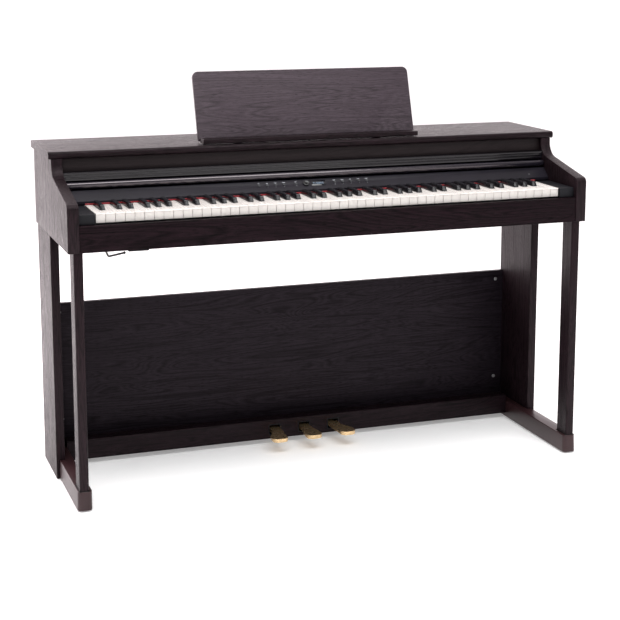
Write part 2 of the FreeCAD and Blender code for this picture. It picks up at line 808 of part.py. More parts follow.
def black_key_shape(letter, octave):
    """One black key: a raised tapered top on a plain lever."""
    pitch, slot = key_sizes()
    gap = size["black_gap"].number
    slot_left = octave_left(octave) + black_slots(pitch, slot)[letter]
    left = slot_left + gap
    right = slot_left + slot - gap
    face = key_front.number + size["black_setback"].number
    end = felt_front.number - size["felt_gap"].number
    low = key_underside.number
    high = key_top.number + size["black_rise"].number
    lean = size["black_top_inset"].number
    slope = size["black_front_lean"].number
    shoulder = key_top.number
    lever = Part.makeBox(right - left, key_rear.number - face, shoulder - low)
    lever.translate(Vector(left, face, low))
    foot = [(left, face), (right, face), (right, end), (left, end)]
    crown = [
        (left + lean, face + slope),
        (right - lean, face + slope),
        (right - lean, end),
        (left + lean, end),
    ]
    wires = []
    for plan, level in ((foot, shoulder), (crown, high)):
        points = [Vector(x, y, level) for x, y in plan]
        wires.append(Part.makePolygon(points + [points[0]]))
    top = Part.makeLoft(wires, True, True)
    crest = [edge for edge in top.Edges if edge.BoundBox.ZMin > high - NEAR]
    crest = [edge for edge in crest if edge.BoundBox.YMin < end - NEAR]
    top = top.makeFillet(size["black_edge"].number, crest)
    return lever.fuse(top).removeSplitter()


def add_keys(label, shapes):
    feature = doc.addObject("Part::Feature", label)
    if len(shapes) == 1:
        feature.Shape = shapes[0]
    else:
        feature.Shape = Part.makeCompound(shapes)
    feature.Label = label
    keep(feature)


def make_keys():
    """Eighty-eight keys.  Those of the middle octave are single parts."""
    whites = {"bass": [], "treble": []}
    blacks = {"bass": [], "treble": []}
    for index in range(WHITE_COUNT):
        letter, octave = white_name(index)
        shape = white_key_shape(index)
        if octave == MIDDLE_OCTAVE:
            add_keys("white_key_" + letter.lower(), [shape])
        elif octave < MIDDLE_OCTAVE:
            whites["bass"].append(shape)
        else:
            whites["treble"].append(shape)
        if letter not in BLACK_AFTER or index == WHITE_COUNT - 1:
            continue
        black = black_key_shape(letter, octave)
        if octave == MIDDLE_OCTAVE:
            add_keys("black_key_" + letter.lower() + "_sharp", [black])
        elif octave < MIDDLE_OCTAVE:
            blacks["bass"].append(black)
        else:
            blacks["treble"].append(black)
    for half in ("bass", "treble"):
        add_keys("white_keys_" + half, whites[half])
        add_keys("black_keys_" + half, blacks[half])


# ---------------------------------------------------------------- control panel
slope_angle = Size(
    math.degrees(math.atan2(size["panel_rise"].number, size["panel_run"].number)),
    "atan2(Sizes.panel_rise; Sizes.panel_run)",
)
slope_y = panel_y + size["panel_run"] / 2
slope_z = panel_z + size["panel_rise"] / 2


def button_places():
    """Where the left and right buttons sit along the panel."""
    first = size["left_button_place"]
    left = [first + size["left_button_pitch"] * step for step in (0, 1, 2)]
    left.append(first + size["left_button_pitch"] * 3 + size["left_button_extra"])
    first = size["right_button_place"]
    right = [first + size["right_button_pitch"] * step for step in (0, 1, 2, 3, 4)]
    return left, right


def panel_blank():
    """The bent wall of the control panel, before its holes are cut."""
    wall = size["panel_wall"]
    bend = size["panel_bend"]
    lip = key_top + size["panel_lip_gap"]
    ledge_front = panel_y + size["panel_run"]
    outline = [
        (panel_y, panel_z),
        (ledge_front, panel_top),
        (panel_back, panel_top),
        (panel_back, panel_top - wall),
        (ledge_front + bend, panel_top - wall),
        (panel_y + wall + bend, panel_z - bend),
        (panel_y + wall + bend, lip),
        (panel_y, lip),
    ]
    return slab("control_panel_blank", "YZ_Plane", outline, -side_inner, side_inner * 2)


def make_control_panel():
    """A sloped panel over the key tails, with holes for its controls."""
    blank = panel_blank()
    left, right = button_places()
    holes = [(place, size["button_radius"]) for place in left + right + [size["power_place"]]]
    holes.append((size["dial_place"], size["dial_stem_radius"]))
    depth = -size["hole_depth"]
    row = size["row_lift"]
    cutters = []
    for place, radius in holes:
        wide = radius + size["button_play"]
        cutters.append(cylinder("panel_hole", wide, size["hole_length"], place, row, depth))
    half = size["display_width"] / 2
    tall = size["display_height"] / 2
    recess_low = (size["display_place"] - half, row - tall, -size["display_recess"])
    recess_high = (size["display_place"] + half, row + tall, size["display_recess"])
    cutters.append(box("panel_recess", recess_low, recess_high))
    tools = doc.addObject("Part::Compound", "panel_cutters")
    tools.Links = cutters
    place_body(tools, slope_y, slope_z, slope_angle)
    panel = doc.addObject("Part::Cut", "control_panel")
    panel.Base = blank
    panel.Tool = tools
    panel.Label = "control_panel"
    keep(panel)


def on_slope(part):
    """Move a part from its own flat frame onto the middle of the sloped panel."""
    place_body(part, slope_y, slope_z, slope_angle)
    return keep(part)


def make_controls():
    """Display, dial and buttons, modelled flat and set onto the slope."""
    row = size["row_lift"]
    half = size["display_width"] / 2 - size["display_gap"]
    tall = size["display_height"] / 2 - size["display_gap"]
    low = (size["display_place"] - half, row - tall, -size["display_recess"])
    high = (size["display_place"] + half, row + tall, size["display_rise"])
    on_slope(board("display_window", low, high))

    place = size["dial_place"]
    depth = size["dial_stem_depth"]
    stem_length = depth + size["dial_gap"] + PAST
    stem = cylinder("dial_stem", size["dial_stem_radius"], stem_length, place, row, -depth)
    cap = cylinder("dial_cap", size["dial_radius"], size["dial_height"], place, row, size["dial_gap"])
    on_slope(fuse("dial_knob", [stem, cap]))

    left, right = button_places()
    sets = (("power_button", [size["power_place"]]), ("left_buttons", left), ("right_buttons", right))
    for label, places in sets:
        caps = []
        long = size["button_depth"]
        start = size["button_height"] - long
        for place in places:
            caps.append(cylinder(label + "_cap", size["button_radius"], long, place, row, start))
        on_slope(group(label, caps))


# ---------------------------------------------------------------- key cover
bar_y = front + size["cover_bar_setback"]
bar_z = key_top + size["cover_bar_lift"]


def sloped_outline(y, z, depth, thickness):
    """The side view of a plate that climbs with the cover's slope."""
    end = y + depth
    high = z + depth * tangent(size["cover_slope"])
    return [(y, z), (end, high), (end, high + thickness), (y, z + thickness)]


def make_key_cover():
    """A sliding cover: a rounded bar in front of a flat plate that slopes up to the back."""
    reach = side_inner - size["cover_side_gap"]
    bar_top = bar_z + size["cover_bar_height"]
    outline = rectangle(bar_y, bar_z, bar_y + size["cover_bar_depth"], bar_top)
    bar = slab("key_cover_bar", "YZ_Plane", outline, -reach, reach * 2)
    for edge_z in (bar_z, bar_top):
        round_corner(bar, "YZ_Plane", bar_y, edge_z, size["cover_bar_round"])
    keep(bar)

    thickness = size["cover_plate_thickness"]
    start_y = bar_y + size["cover_bar_depth"]
    start_z = bar_z + (size["cover_bar_height"] - thickness) / 2
    plate_outline = sloped_outline(start_y, start_z, size["cover_plate_depth"], thickness)
    keep(slab("key_cover_panel", "YZ_Plane", plate_outline, -reach, reach * 2))

    lead = size["cover_bar_depth"]
    climb = lead * tangent(size["cover_slope"])
    guide_y = start_y + lead
    guide_z = start_z + climb - size["running_gap"] - size["guide_thickness"]
    guide_outline = sloped_outline(guide_y, guide_z, size["guide_depth"], size["guide_thickness"])
    guides = []
    for side, sign in SIDES:
        low, high = span(sign, side_inner - size["guide_width"], side_inner)
        guides.append(slab(side + "_cover_guide", "YZ_Plane", guide_outline, low, high - low))
    keep(group("cover_guides", guides))


# ---------------------------------------------------------------- music rest
ear_half = size["rest_ear_width"] / 2
rest_half = size["rest_width"] / 2
rest_face = size["rest_thickness"] / 2


def make_rest_panel():
    """A board that leans back on two pins."""
    foot = -(size["rest_pin_radius"])
    outline = rectangle(-rest_half, foot, rest_half, size["rest_length"])
    body = slab("rest_blank", "XZ_Plane", outline, -rest_face, size["rest_thickness"])
    for sign in (-1, 1):
        round_corner(body, "XZ_Plane", rest_half * sign, size["rest_length"], size["rest_corner"])
    soften(body, size["edge_radius"], longer_than=60)
    cutters = []
    notch_half = ear_half + size["rest_notch_gap"]
    bore_half = ear_half + size["rest_pin_reach"] + PAST
    radius = size["rest_pin_radius"] + size["pin_play"]
    for sign in (-1, 1):
        middle = size["rest_hinge_place"] * sign
        notch_low = (middle - notch_half, -rest_face - PAST, foot - PAST)
        notch_high = (middle + notch_half, rest_face + PAST, size["rest_notch_rise"])
        cutters.append(box("rest_notch", notch_low, notch_high))
        bore = lying_cylinder("rest_bore", radius, middle - bore_half, middle + bore_half, 0, 0)
        cutters.append(bore)
    tools = doc.addObject("Part::Compound", "rest_cutters")
    tools.Links = cutters
    panel = doc.addObject("Part::Cut", "music_rest_cut")
    panel.Base = body
    panel.Tool = tools
    panel.Label = "music_rest_panel"
    place_body(panel, rest_y, rest_z, -size["rest_tilt"])
    keep(panel)


def make_rest_ledge():
    """A level ledge whose back follows the leaning face of the board."""
    lean = tangent(size["rest_tilt"])
    face = -(rest_face / cosine(size["rest_tilt"]))
    low = size["ledge_gap"] - size["rest_lift"]
    high = low + size["ledge_height"]
    edge = rest_y - size["ledge_depth"] - rest_face
    outline = [
        (edge, rest_z + low),
        (edge, rest_z + high),
        (rest_y + face + high * lean, rest_z + high),
        (rest_y + face + low * lean, rest_z + low),
    ]
    ledge_half = rest_half - size["ledge_inset"]
    keep(slab("music_rest_ledge", "YZ_Plane", outline, -ledge_half, ledge_half * 2))


def make_rest_hinges():
    """Two ears on plates screwed to the top board, each with a pin through it."""
    hinges = []
    reach = ear_half + size["rest_pin_reach"]
    front_y = rest_y - size["rest_ear_front"]
    foot = size["case_height"]
    for side, sign in SIDES:
        middle = size["rest_hinge_place"] * sign
        left = middle - ear_half
        right = middle + ear_half
        ear_high = (right, rest_y + size["rest_ear_back"], rest_z + size["rest_ear_rise"])
        ear = box(side + "_rest_ear", (left, front_y, foot), ear_high)
        plate_high = (right, rest_y + size["rest_plate_back"], foot + size["rest_plate_thickness"])
        plate = box(side + "_rest_plate", (left, front_y, foot), plate_high)
        radius = size["rest_pin_radius"]
        pin = lying_cylinder(side + "_rest_pin", radius, middle - reach, middle + reach, rest_y, rest_z)
        hinges.append(fuse(side + "_rest_hinge", [ear, plate, pin]))
    keep(group("music_rest_hinges", hinges))


# ---------------------------------------------------------------- stand
def make_legs():
    for side, sign in SIDES:
        low, high = span(sign, leg_inner, side_outer)
        rear = board(side + "_rear_leg_board", (low, leg_front, 0), (high, leg_back, case_bottom))
        soften(rear, size["edge_radius"], longer_than=100)
        keep(rear)
        outer = side_outer - size["front_leg_inset"]
        low, high = span(sign, outer - size["front_leg_width"], outer)
        leg_y = front + size["front_leg_setback"]
        leg_end = leg_y + size["front_leg_depth"]
        leg = board(side + "_front_leg", (low, leg_y, foot_top), (high, leg_end, case_bottom))
        soften(leg, size["front_leg_edge"], longer_than=100)
        keep(leg)


def make_feet():
    """Moulded shoes: full width in front, a tongue beside the rear leg board."""
    for side, sign in SIDES:
        tongue_end = leg_front + size["foot_tongue"]
        outline = [
            (foot_inner * sign, front),
            (foot_outer * sign, front),
            (foot_outer * sign, leg_front),
            (leg_inner * sign, leg_front),
            (leg_inner * sign, tongue_end),
            (foot_inner * sign, tongue_end),
        ]
        body = slab(side + "_foot", "XY_Plane", outline, size["glide_height"], size["foot_height"])
        round_corner(body, "XY_Plane", foot_inner * sign, front, size["foot_corner"])
        round_corner(body, "XY_Plane", foot_outer * sign, front, size["foot_corner"])
        keep(body)
    glides = []
    middle = foot_outer - size["foot_width"] / 2
    places = (
        ("front", front + size["glide_inset"]),
        ("rear", leg_front - size["glide_inset"]),
    )
    for side, sign in SIDES:
        for name, y in places:
            label = side + "_" + name + "_glide"
            glide = cylinder(label, size["glide_radius"], size["glide_height"], middle * sign, y, 0)
            glides.append(glide)
    keep(group("foot_glides", glides))


def make_stand_panel():
    """The panel between the rear legs and the screws at its ends."""
    panel_rear = leg_back - size["stand_panel_inset"]
    face = panel_rear - size["stand_panel_thickness"]
    top = size["stand_panel_base"] + size["stand_panel_height"]
    low = (-leg_inner, face, size["stand_panel_base"])
    panel = board("stand_back_panel", low, (leg_inner, panel_rear, top))
    soften(panel, size["edge_radius"], longer_than=500)
    keep(panel)
    heads = []
    levels = (
        ("upper", top - size["screw_inset"]),
        ("lower", size["stand_panel_base"] + size["screw_lift"]),
    )
    for side, sign in SIDES:
        for name, z in levels:
            x = (leg_inner - size["screw_inset"]) * sign
            head = doc.addObject("Part::Cylinder", side + "_" + name + "_screw")
            head.Placement = Placement(Vector(0, 0, 0), Rotation(Vector(1, 0, 0), 90))
            bind(head, "Radius", size["screw_radius"])
            bind(head, "Height", size["screw_height"])
            bind(head, "Placement.Base.x", x)
            bind(head, "Placement.Base.y", face)
            bind(head, "Placement.Base.z", z)
            heads.append(head)
    keep(group("stand_screws", heads))


# ---------------------------------------------------------------- pedals
def pedal_roots():
    """Root position and tip shift of the three pedals, from the left."""
    pitch = size["pedal_root_pitch"]
    middle = size["pedal_offset"]
    splay = size["pedal_splay"]
    return (
        ("soft_pedal", middle - pitch, -splay),
        ("sostenuto_pedal", middle, size_of(0)),
        ("damper_pedal", middle + pitch, splay),
    )


def make_pedal_box():
    """A hollow rail between the feet, lower at the back, with a slot for each pedal."""
    base = size["pedal_box_base"]
    wall = size["pedal_box_wall"]
    knee = box_top - size["pedal_box_step"]
    outline = [
        (box_face, base),
        (box_face, box_top),
        (box_knee, box_top),
        (box_knee, knee),
        (box_back, knee),
        (box_back, base),
    ]
    body = slab("pedal_box", "YZ_Plane", outline, -foot_inner, foot_inner * 2)
    round_corner(body, "YZ_Plane", box_face, box_top, size["pedal_box_edge"])
    inside = new_sketch(body, "pedal_box_inside", "YZ_Plane", -foot_inner)
    hollow = [
        (box_face + wall, base + wall),
        (box_face + wall, box_top - wall),
        (box_knee - wall, box_top - wall),
        (box_knee - wall, knee - wall),
        (box_back - wall, knee - wall),
        (box_back - wall, base + wall),
    ]
    draw_outline(inside, hollow)
    cut_pocket(body, "pedal_box_hollow", inside, foot_inner * 2, True)
    slots = new_sketch(body, "pedal_box_slots", "XZ_Plane", -box_face)
    slot_low = pedal_pivot_z - size["slot_height"] / 2
    slot_high = slot_low + size["slot_height"]
    half = size["pedal_neck"] / 2 + size["slot_play"]
    for label, root, shift in pedal_roots():
        draw_outline(slots, rectangle(root - half, slot_low, root + half, slot_high))
    cut_pocket(body, "pedal_box_slot_cut", slots, wall, False)
    stem = new_sketch(body, "pedal_box_stem_hole", "XY_Plane", base)
    adjuster_y = box_face + size["adjuster_setback"]
    draw_circle(stem, size["adjuster_place"], adjuster_y, size["adjuster_stem"] + size["pin_play"])
    cut_pocket(body, "pedal_box_stem_cut", stem, wall, True)
    keep(body)


def make_pedals():
    """Three pedals on one rod.  The outer two lean outwards at their tips."""
    tip_y = box_face - size["pedal_reach"]
    neck_y = box_face - size["pedal_reach"] * size["pedal_neck_share"]
    flare_y = box_face - size["pedal_reach"] * size["pedal_flare_share"]
    end_y = pedal_pivot_y + size["pedal_tail"]
    neck = size["pedal_neck"] / 2
    tip = size["pedal_tip"] / 2
    for label, root, shift in pedal_roots():
        outline = [
            (root - neck, end_y),
            (root - neck, neck_y),
            (root + shift - tip, flare_y),
            (root + shift - tip, tip_y),
            (root + shift + tip, tip_y),
            (root + shift + tip, flare_y),
            (root + neck, neck_y),
            (root + neck, end_y),
        ]
        body = slab(label + "_blank", "XY_Plane", outline, size["pedal_height"], size["pedal_thickness"])
        for x in (root + shift - tip, root + shift + tip):
            round_corner(body, "XY_Plane", x, tip_y, size["pedal_tip_round"])
            round_corner(body, "XY_Plane", x, flare_y, size["pedal_flare_round"])
        radius = size["pivot_rod_radius"] + size["pin_play"]
        low = root - neck - PAST
        high = root + neck + PAST
        bore = lying_cylinder(label + "_bore", radius, low, high, pedal_pivot_y, pedal_pivot_z)
        pedal = doc.addObject("Part::Cut", label + "_cut")
        pedal.Base = body
        pedal.Tool = bore
        pedal.Label = label
        keep(pedal)


def make_pedal_rod():
    """The pivot rod and the two hangers that hold it under the box top."""
    roots = pedal_roots()
    neck = size["pedal_neck"] / 2
    low = roots[0][1] - neck - size["rod_overhang"]
    high = roots[2][1] + neck + size["rod_overhang"]
    rod = lying_cylinder("pivot_rod", size["pivot_rod_radius"], low, high, pedal_pivot_y, pedal_pivot_z)
    pieces = [rod]
    reach = size["hanger_half_depth"]
    ceiling = box_top - size["pedal_box_wall"]
    for name, start in (("left", low), ("right", high - size["hanger_thickness"])):
        hanger_low = (start, pedal_pivot_y - reach, pedal_pivot_z - reach)
        hanger_high = (start + size["hanger_thickness"], pedal_pivot_y + reach, ceiling)
        pieces.append(box(name + "_hanger", hanger_low, hanger_high))
    keep(fuse("pedal_pivot_rod", pieces))


def make_adjuster():
    """A screw foot that steadies the middle of the pedal box."""
    y = box_face + size["adjuster_setback"]
    x = size["adjuster_place"]
    base = cylinder("adjuster_disc", size["adjuster_radius"], size["adjuster_base"], x, y, 0)
    stem = cylinder("adjuster_stem_rod", size["adjuster_stem"], size["adjuster_stem_top"], x, y, 0)
    keep(fuse("adjuster_foot", [base, stem]))


# ---------------------------------------------------------------- small fittings
def make_hook():
    """A bent wire hook under the left front of the case."""
    radius = size["hook_wire"].number
    bend = size["hook_bend"].number
    x = -size["hook_place"].number
    y = (front + size["hook_setback"]).number
    low = (case_bottom - size["hook_drop"]).number
    root = (board_floor - size["hook_root_gap"]).number
    start = Vector(x - size["hook_lean"].number, y, root)
    corner = Vector(x, y, low)
    tip = Vector(size["hook_reach"].number, size["hook_swing"].number, size["hook_tip_rise"].number)
    end = corner + tip
    down = (corner - start).normalize()
    along = (end - corner).normalize()
    half_turn = math.acos(down.dot(along)) / 2
    trim = bend * math.tan(half_turn)
    bend_in = corner - down * trim
    bend_out = corner + along * trim
    inwards = (along - down).normalize()
    bend_middle = corner + inwards * (bend / math.cos(half_turn) - bend)
    path = Part.Wire([
        Part.makeLine(start, bend_in),
        Part.Arc(bend_in, bend_middle, bend_out).toShape(),
        Part.makeLine(bend_out, end),
    ])
    profile = Part.Wire([Part.makeCircle(radius, start, down)])
    wire = path.makePipeShell([profile], True, True)
    knob = Part.makeSphere(size["hook_knob"].number, end)
    thickness = size["hook_plate_thickness"].number
    plate_x = x - size["hook_plate_left"].number
    plate_y = y - size["hook_plate_front"].number
    plate = Part.makeBox(size["hook_plate_width"].number, size["hook_plate_depth"].number, thickness)
    plate.translate(Vector(plate_x, plate_y, board_floor.number - thickness))
    feature = doc.addObject("Part::Feature", "headphone_hook")
    feature.Shape = wire.fuse(knob).fuse(plate).removeSplitter()
    feature.Label = "headphone_hook"
    keep(feature)


def make_jack_box():
    """A box under the case with two headphone sockets that face the player."""
    half = size["jack_box_width"] / 2
    middle = -size["jack_box_place"]
    face = front + size["jack_box_setback"]
    low = board_floor - size["jack_box_height"]
    rear = face + size["jack_box_depth"]
    body = board("headphone_jack_box", (middle - half, face, low), (middle + half, rear, board_floor))
    sockets = new_sketch(body, "headphone_sockets", "XZ_Plane", -face)
    for sign in (-1, 1):
        place = middle + size["jack_pitch"] / 2 * sign
        draw_circle(sockets, place, low + size["jack_box_height"] / 2, size["jack_radius"])
    cut_pocket(body, "headphone_socket_cut", sockets, size["jack_depth"], False)
    keep(body)


def make_rear_jack_box():
    """A box under the case's rear edge: a round power inlet, a flat port and a square port."""
    half = size["rear_box_width"] / 2
    middle = size["rear_box_place"]
    face = back - size["rear_box_setback"]
    low = board_floor - size["rear_box_height"]
    centre = low + size["rear_box_height"] / 2
    front_y = face - size["rear_box_depth"]
    body = board("rear_jack_box", (middle - half, front_y, low), (middle + half, face, board_floor))
    inlet = new_sketch(body, "power_inlet", "XZ_Plane", -face)
    draw_circle(inlet, middle - size["inlet_shift"], centre, size["inlet_radius"])
    cut_pocket(body, "power_inlet_cut", inlet, size["inlet_depth"], True)
    ports = new_sketch(body, "data_ports", "XZ_Plane", -face)
    openings = (
        (middle, size["port_wide"] / 2, size["port_low"] / 2),
        (middle + size["port_shift"], size["port_square"] / 2, size["port_square"] / 2),
    )
    for place, wide, tall in openings:
        draw_outline(ports, rectangle(place - wide, centre - tall, place + wide, centre + tall))
    cut_pocket(body, "data_port_cut", ports, size["port_depth"], True)
    keep(body)


def make_speakers():
    """Two speakers that fire down through the bottom board's slots."""
    pieces = []
    y = front + size["speaker_setback"]
    cone_z = board_top + size["speaker_rim"]
    magnet_z = cone_z + size["cone_height"]
    for side, sign in SIDES:
        x = size["speaker_place"] * sign
        rim = cylinder(side + "_speaker_rim", size["speaker_radius"], size["speaker_rim"], x, y, board_top)
        cone = doc.addObject("Part::Cone", side + "_speaker_cone")
        bind(cone, "Radius1", size["cone_radius"])
        bind(cone, "Radius2", size["cone_neck"])
        bind(cone, "Height", size["cone_height"])
        bind(cone, "Placement.Base.x", x)
        bind(cone, "Placement.Base.y", y)
        bind(cone, "Placement.Base.z", cone_z)
        name = side + "_speaker_magnet"
        magnet = cylinder(name, size["magnet_radius"], size["magnet_height"], x, y, magnet_z)
        pieces.append(fuse(side + "_speaker", [rim, cone, magnet]))
    keep(group("speakers", pieces))


make_side_boards()
make_top_board()
make_name_panel()
make_fascia_rail()
make_bottom_board()
make_back_panel()
make_key_slip()
make_key_blocks()
make_key_bed()
make_keys()
make_control_panel()
make_controls()
make_key_cover()
make_rest_panel()
make_rest_ledge()
make_rest_hinges()
make_legs()
make_feet()
make_stand_panel()
make_pedal_box()
make_pedals()
make_pedal_rod()
make_adjuster()
make_hook()
make_jack_box()
make_rear_jack_box()
make_speakers()
doc.recompute()

for thing in doc.Objects:
    if "Invalid" in thing.State or "Error" in thing.State:
        raise ValueError(thing.Label + " did not compute")

for part in sub_parts:
    if part.Shape.isNull() or not part.Shape.isValid():
        raise ValueError(part.Label + " has no valid shape")
    part.Shape.exportStep("parts/" + part.Label + ".step")
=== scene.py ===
"""The looks of a digital piano on its stand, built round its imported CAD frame."""
import json
import math

import bpy
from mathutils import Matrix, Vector


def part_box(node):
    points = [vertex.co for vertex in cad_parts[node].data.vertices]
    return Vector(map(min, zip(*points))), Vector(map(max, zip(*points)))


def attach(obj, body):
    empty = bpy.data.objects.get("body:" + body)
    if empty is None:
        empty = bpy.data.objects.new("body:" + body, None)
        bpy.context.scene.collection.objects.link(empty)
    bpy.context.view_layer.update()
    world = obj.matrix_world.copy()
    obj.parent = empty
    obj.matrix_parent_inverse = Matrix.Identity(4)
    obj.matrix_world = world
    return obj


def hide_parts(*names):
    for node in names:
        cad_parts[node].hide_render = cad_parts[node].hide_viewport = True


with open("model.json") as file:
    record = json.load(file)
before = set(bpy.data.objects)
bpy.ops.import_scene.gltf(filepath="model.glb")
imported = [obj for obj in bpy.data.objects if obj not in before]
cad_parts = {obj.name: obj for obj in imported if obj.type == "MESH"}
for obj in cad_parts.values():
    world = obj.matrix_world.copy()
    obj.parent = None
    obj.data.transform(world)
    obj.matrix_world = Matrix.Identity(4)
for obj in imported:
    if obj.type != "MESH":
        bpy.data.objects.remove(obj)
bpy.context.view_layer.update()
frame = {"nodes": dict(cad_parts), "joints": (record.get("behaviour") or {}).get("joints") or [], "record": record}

bpy.ops.object.select_all(action="DESELECT")

NODES = frame["nodes"]
RECORD = frame["record"]
BODY_OF = {node: body for body, nodes in RECORD["behaviour"]["bodies"].items() for node in nodes}
SLOT_OF = {part["node"]: part["material_slot"] for part in RECORD["subparts"]}
JOINTS = {joint["name"]: joint for joint in frame["joints"]}

MM = 0.001
CASE = "cabinet_and_stand"
FACING_FRONT = (math.pi / 2, 0, 0)


# ------------------------------------------------------------ finishes
def new_material(name, base, roughness, specular=0.5):
    """A material with its shader, ready for more nodes."""
    material = bpy.data.materials.new(name)
    material.use_nodes = True
    nodes = material.node_tree.nodes
    shader = nodes["Principled BSDF"]
    shader.inputs["Base Color"].default_value = (*base, 1)
    shader.inputs["Roughness"].default_value = roughness
    shader.inputs["Specular IOR Level"].default_value = specular
    return material, nodes, material.node_tree.links, shader


def stretched_coords(nodes, links, scale):
    """Object coordinates, scaled so that a pattern stretches along the grain."""
    coords = nodes.new("ShaderNodeTexCoord")
    mapping = nodes.new("ShaderNodeMapping")
    mapping.inputs["Scale"].default_value = scale
    links.new(coords.outputs["Object"], mapping.inputs["Vector"])
    return mapping


def noise(nodes, links, mapping, scale, detail=4.0, roughness=0.55, distortion=0.0):
    """Soft random tone on mapped coordinates."""
    texture = nodes.new("ShaderNodeTexNoise")
    texture.inputs["Scale"].default_value = scale
    texture.inputs["Detail"].default_value = detail
    texture.inputs["Roughness"].default_value = roughness
    texture.inputs["Distortion"].default_value = distortion
    links.new(mapping.outputs["Vector"], texture.inputs["Vector"])
    return texture


def ramp(nodes, links, source, stops):
    """A colour ramp from (place, colour) stops."""
    node = nodes.new("ShaderNodeValToRGB")
    while len(node.color_ramp.elements) < len(stops):
        node.color_ramp.elements.new(0.5)
    for element, (place, colour) in zip(node.color_ramp.elements, stops):
        element.position = place
        element.color = (*colour, 1)
    links.new(source, node.inputs["Fac"])
    return node


def grey(value):
    """A neutral colour."""
    return (value, value, value)


def work_out(nodes, links, operation, first, second=None):
    """One step of arithmetic on a value, with a number or with another value."""
    node = nodes.new("ShaderNodeMath")
    node.operation = operation
    links.new(first, node.inputs[0])
    if isinstance(second, (int, float)):
        node.inputs[1].default_value = second
    elif second is not None:
        links.new(second, node.inputs[1])
    return node.outputs["Value"]


def blend_colours(nodes, links, kind, factor, first, second):
    """Two colours mixed or multiplied."""
    mix = nodes.new("ShaderNodeMix")
    mix.data_type = "RGBA"
    mix.blend_type = kind
    mix.inputs["Factor"].default_value = factor
    links.new(first, mix.inputs["A"])
    links.new(second, mix.inputs["B"])
    return mix.outputs["Result"]


def spread(nodes, links, source, low, high, start=0.0):
    """Turn a value that runs from start to 1 into a range."""
    node = nodes.new("ShaderNodeMapRange")
    node.inputs["From Min"].default_value = start
    node.inputs["To Min"].default_value = low
    node.inputs["To Max"].default_value = high
    links.new(source, node.inputs["Value"])
    return node.outputs["Result"]


def add_bump(nodes, links, shader, height, strength, distance):
    """Relief on the surface, of a real depth."""
    bump = nodes.new("ShaderNodeBump")
    bump.inputs["Strength"].default_value = strength
    bump.inputs["Distance"].default_value = distance
    links.new(height, bump.inputs["Height"])
    links.new(bump.outputs["Normal"], shader.inputs["Normal"])


def grain_scale(axis, along, across):
    """A pattern's scale along the grain's axis and across it."""
    return tuple(along if index == axis else across for index in range(3))


X_AXIS, Y_AXIS, Z_AXIS = range(3)
WOOD_RINGS = 34
FOIL_EMBOSS = 0.35 * MM


def wood_finish(name, axis, dark, light, roughness=(0.27, 0.46), specular=0.12, relief=0.5):
    """Embossed dark wood foil: long wavy figure, fine streaks and short open pores."""
    material, nodes, links, shader = new_material(name, dark, roughness[0], specular)
    shader.inputs["Specular Tint"].default_value = (1.0, 0.9, 0.93, 1)
    figure_map = stretched_coords(nodes, links, grain_scale(axis, 1.1, 14))
    figure = noise(nodes, links, figure_map, 1.0, 2.0, 0.5, 0.9)
    rings = work_out(nodes, links, "MULTIPLY", figure.outputs["Fac"], WOOD_RINGS)
    band = work_out(nodes, links, "PINGPONG", rings, 1)
    streak_map = stretched_coords(nodes, links, grain_scale(axis, 5, 330))
    streaks = noise(nodes, links, streak_map, 1.0, 5.0, 0.65, 0.3)
    pore_map = stretched_coords(nodes, links, grain_scale(axis, 55, 900))
    pores = noise(nodes, links, pore_map, 1.0, 2.0, 0.5)
    banded = ramp(nodes, links, band, ((0.0, grey(0.08)), (0.55, grey(0.95)), (1.0, grey(0.4))))
    streaked = ramp(nodes, links, streaks.outputs["Fac"], ((0.34, grey(0.1)), (0.66, grey(0.95))))
    pored = ramp(nodes, links, pores.outputs["Fac"], ((0.36, grey(0.0)), (0.46, grey(1.0))))
    tone = blend_colours(
        nodes, links, "MIX", 0.45, banded.outputs["Color"], streaked.outputs["Color"])
    height = blend_colours(nodes, links, "MULTIPLY", 0.7, tone, pored.outputs["Color"])
    colour = ramp(nodes, links, height, ((0.12, dark), (0.8, light)))
    links.new(colour.outputs["Color"], shader.inputs["Base Color"])
    dullness = spread(nodes, links, height, roughness[1], roughness[0])
    links.new(dullness, shader.inputs["Roughness"])
    add_bump(nodes, links, shader, height, relief, FOIL_EMBOSS)
    return material


def moulded_plastic(name, base, roughness, specular=0.5, grain=1500, relief=0.12, tint=0.25):
    """Plastic with a fine spark grain and a little unevenness in tone."""
    material, nodes, links, shader = new_material(name, base, roughness, specular)
    mapping = stretched_coords(nodes, links, (1, 1, 1))
    fine = noise(nodes, links, mapping, grain, 2.0, 0.5)
    broad = noise(nodes, links, mapping, 9, 3.0, 0.6)
    low = tuple(channel * (1 - tint) for channel in base)
    high = tuple(min(1.0, channel * (1 + tint)) for channel in base)
    colour = ramp(nodes, links, broad.outputs["Fac"], ((0.3, low), (0.7, high)))
    links.new(colour.outputs["Color"], shader.inputs["Base Color"])
    shine = spread(nodes, links, broad.outputs["Fac"], roughness * 0.85, min(1.0, roughness * 1.15))
    links.new(shine, shader.inputs["Roughness"])
    add_bump(nodes, links, shader, fine.outputs["Fac"], relief, 0.1 * MM)
    return material


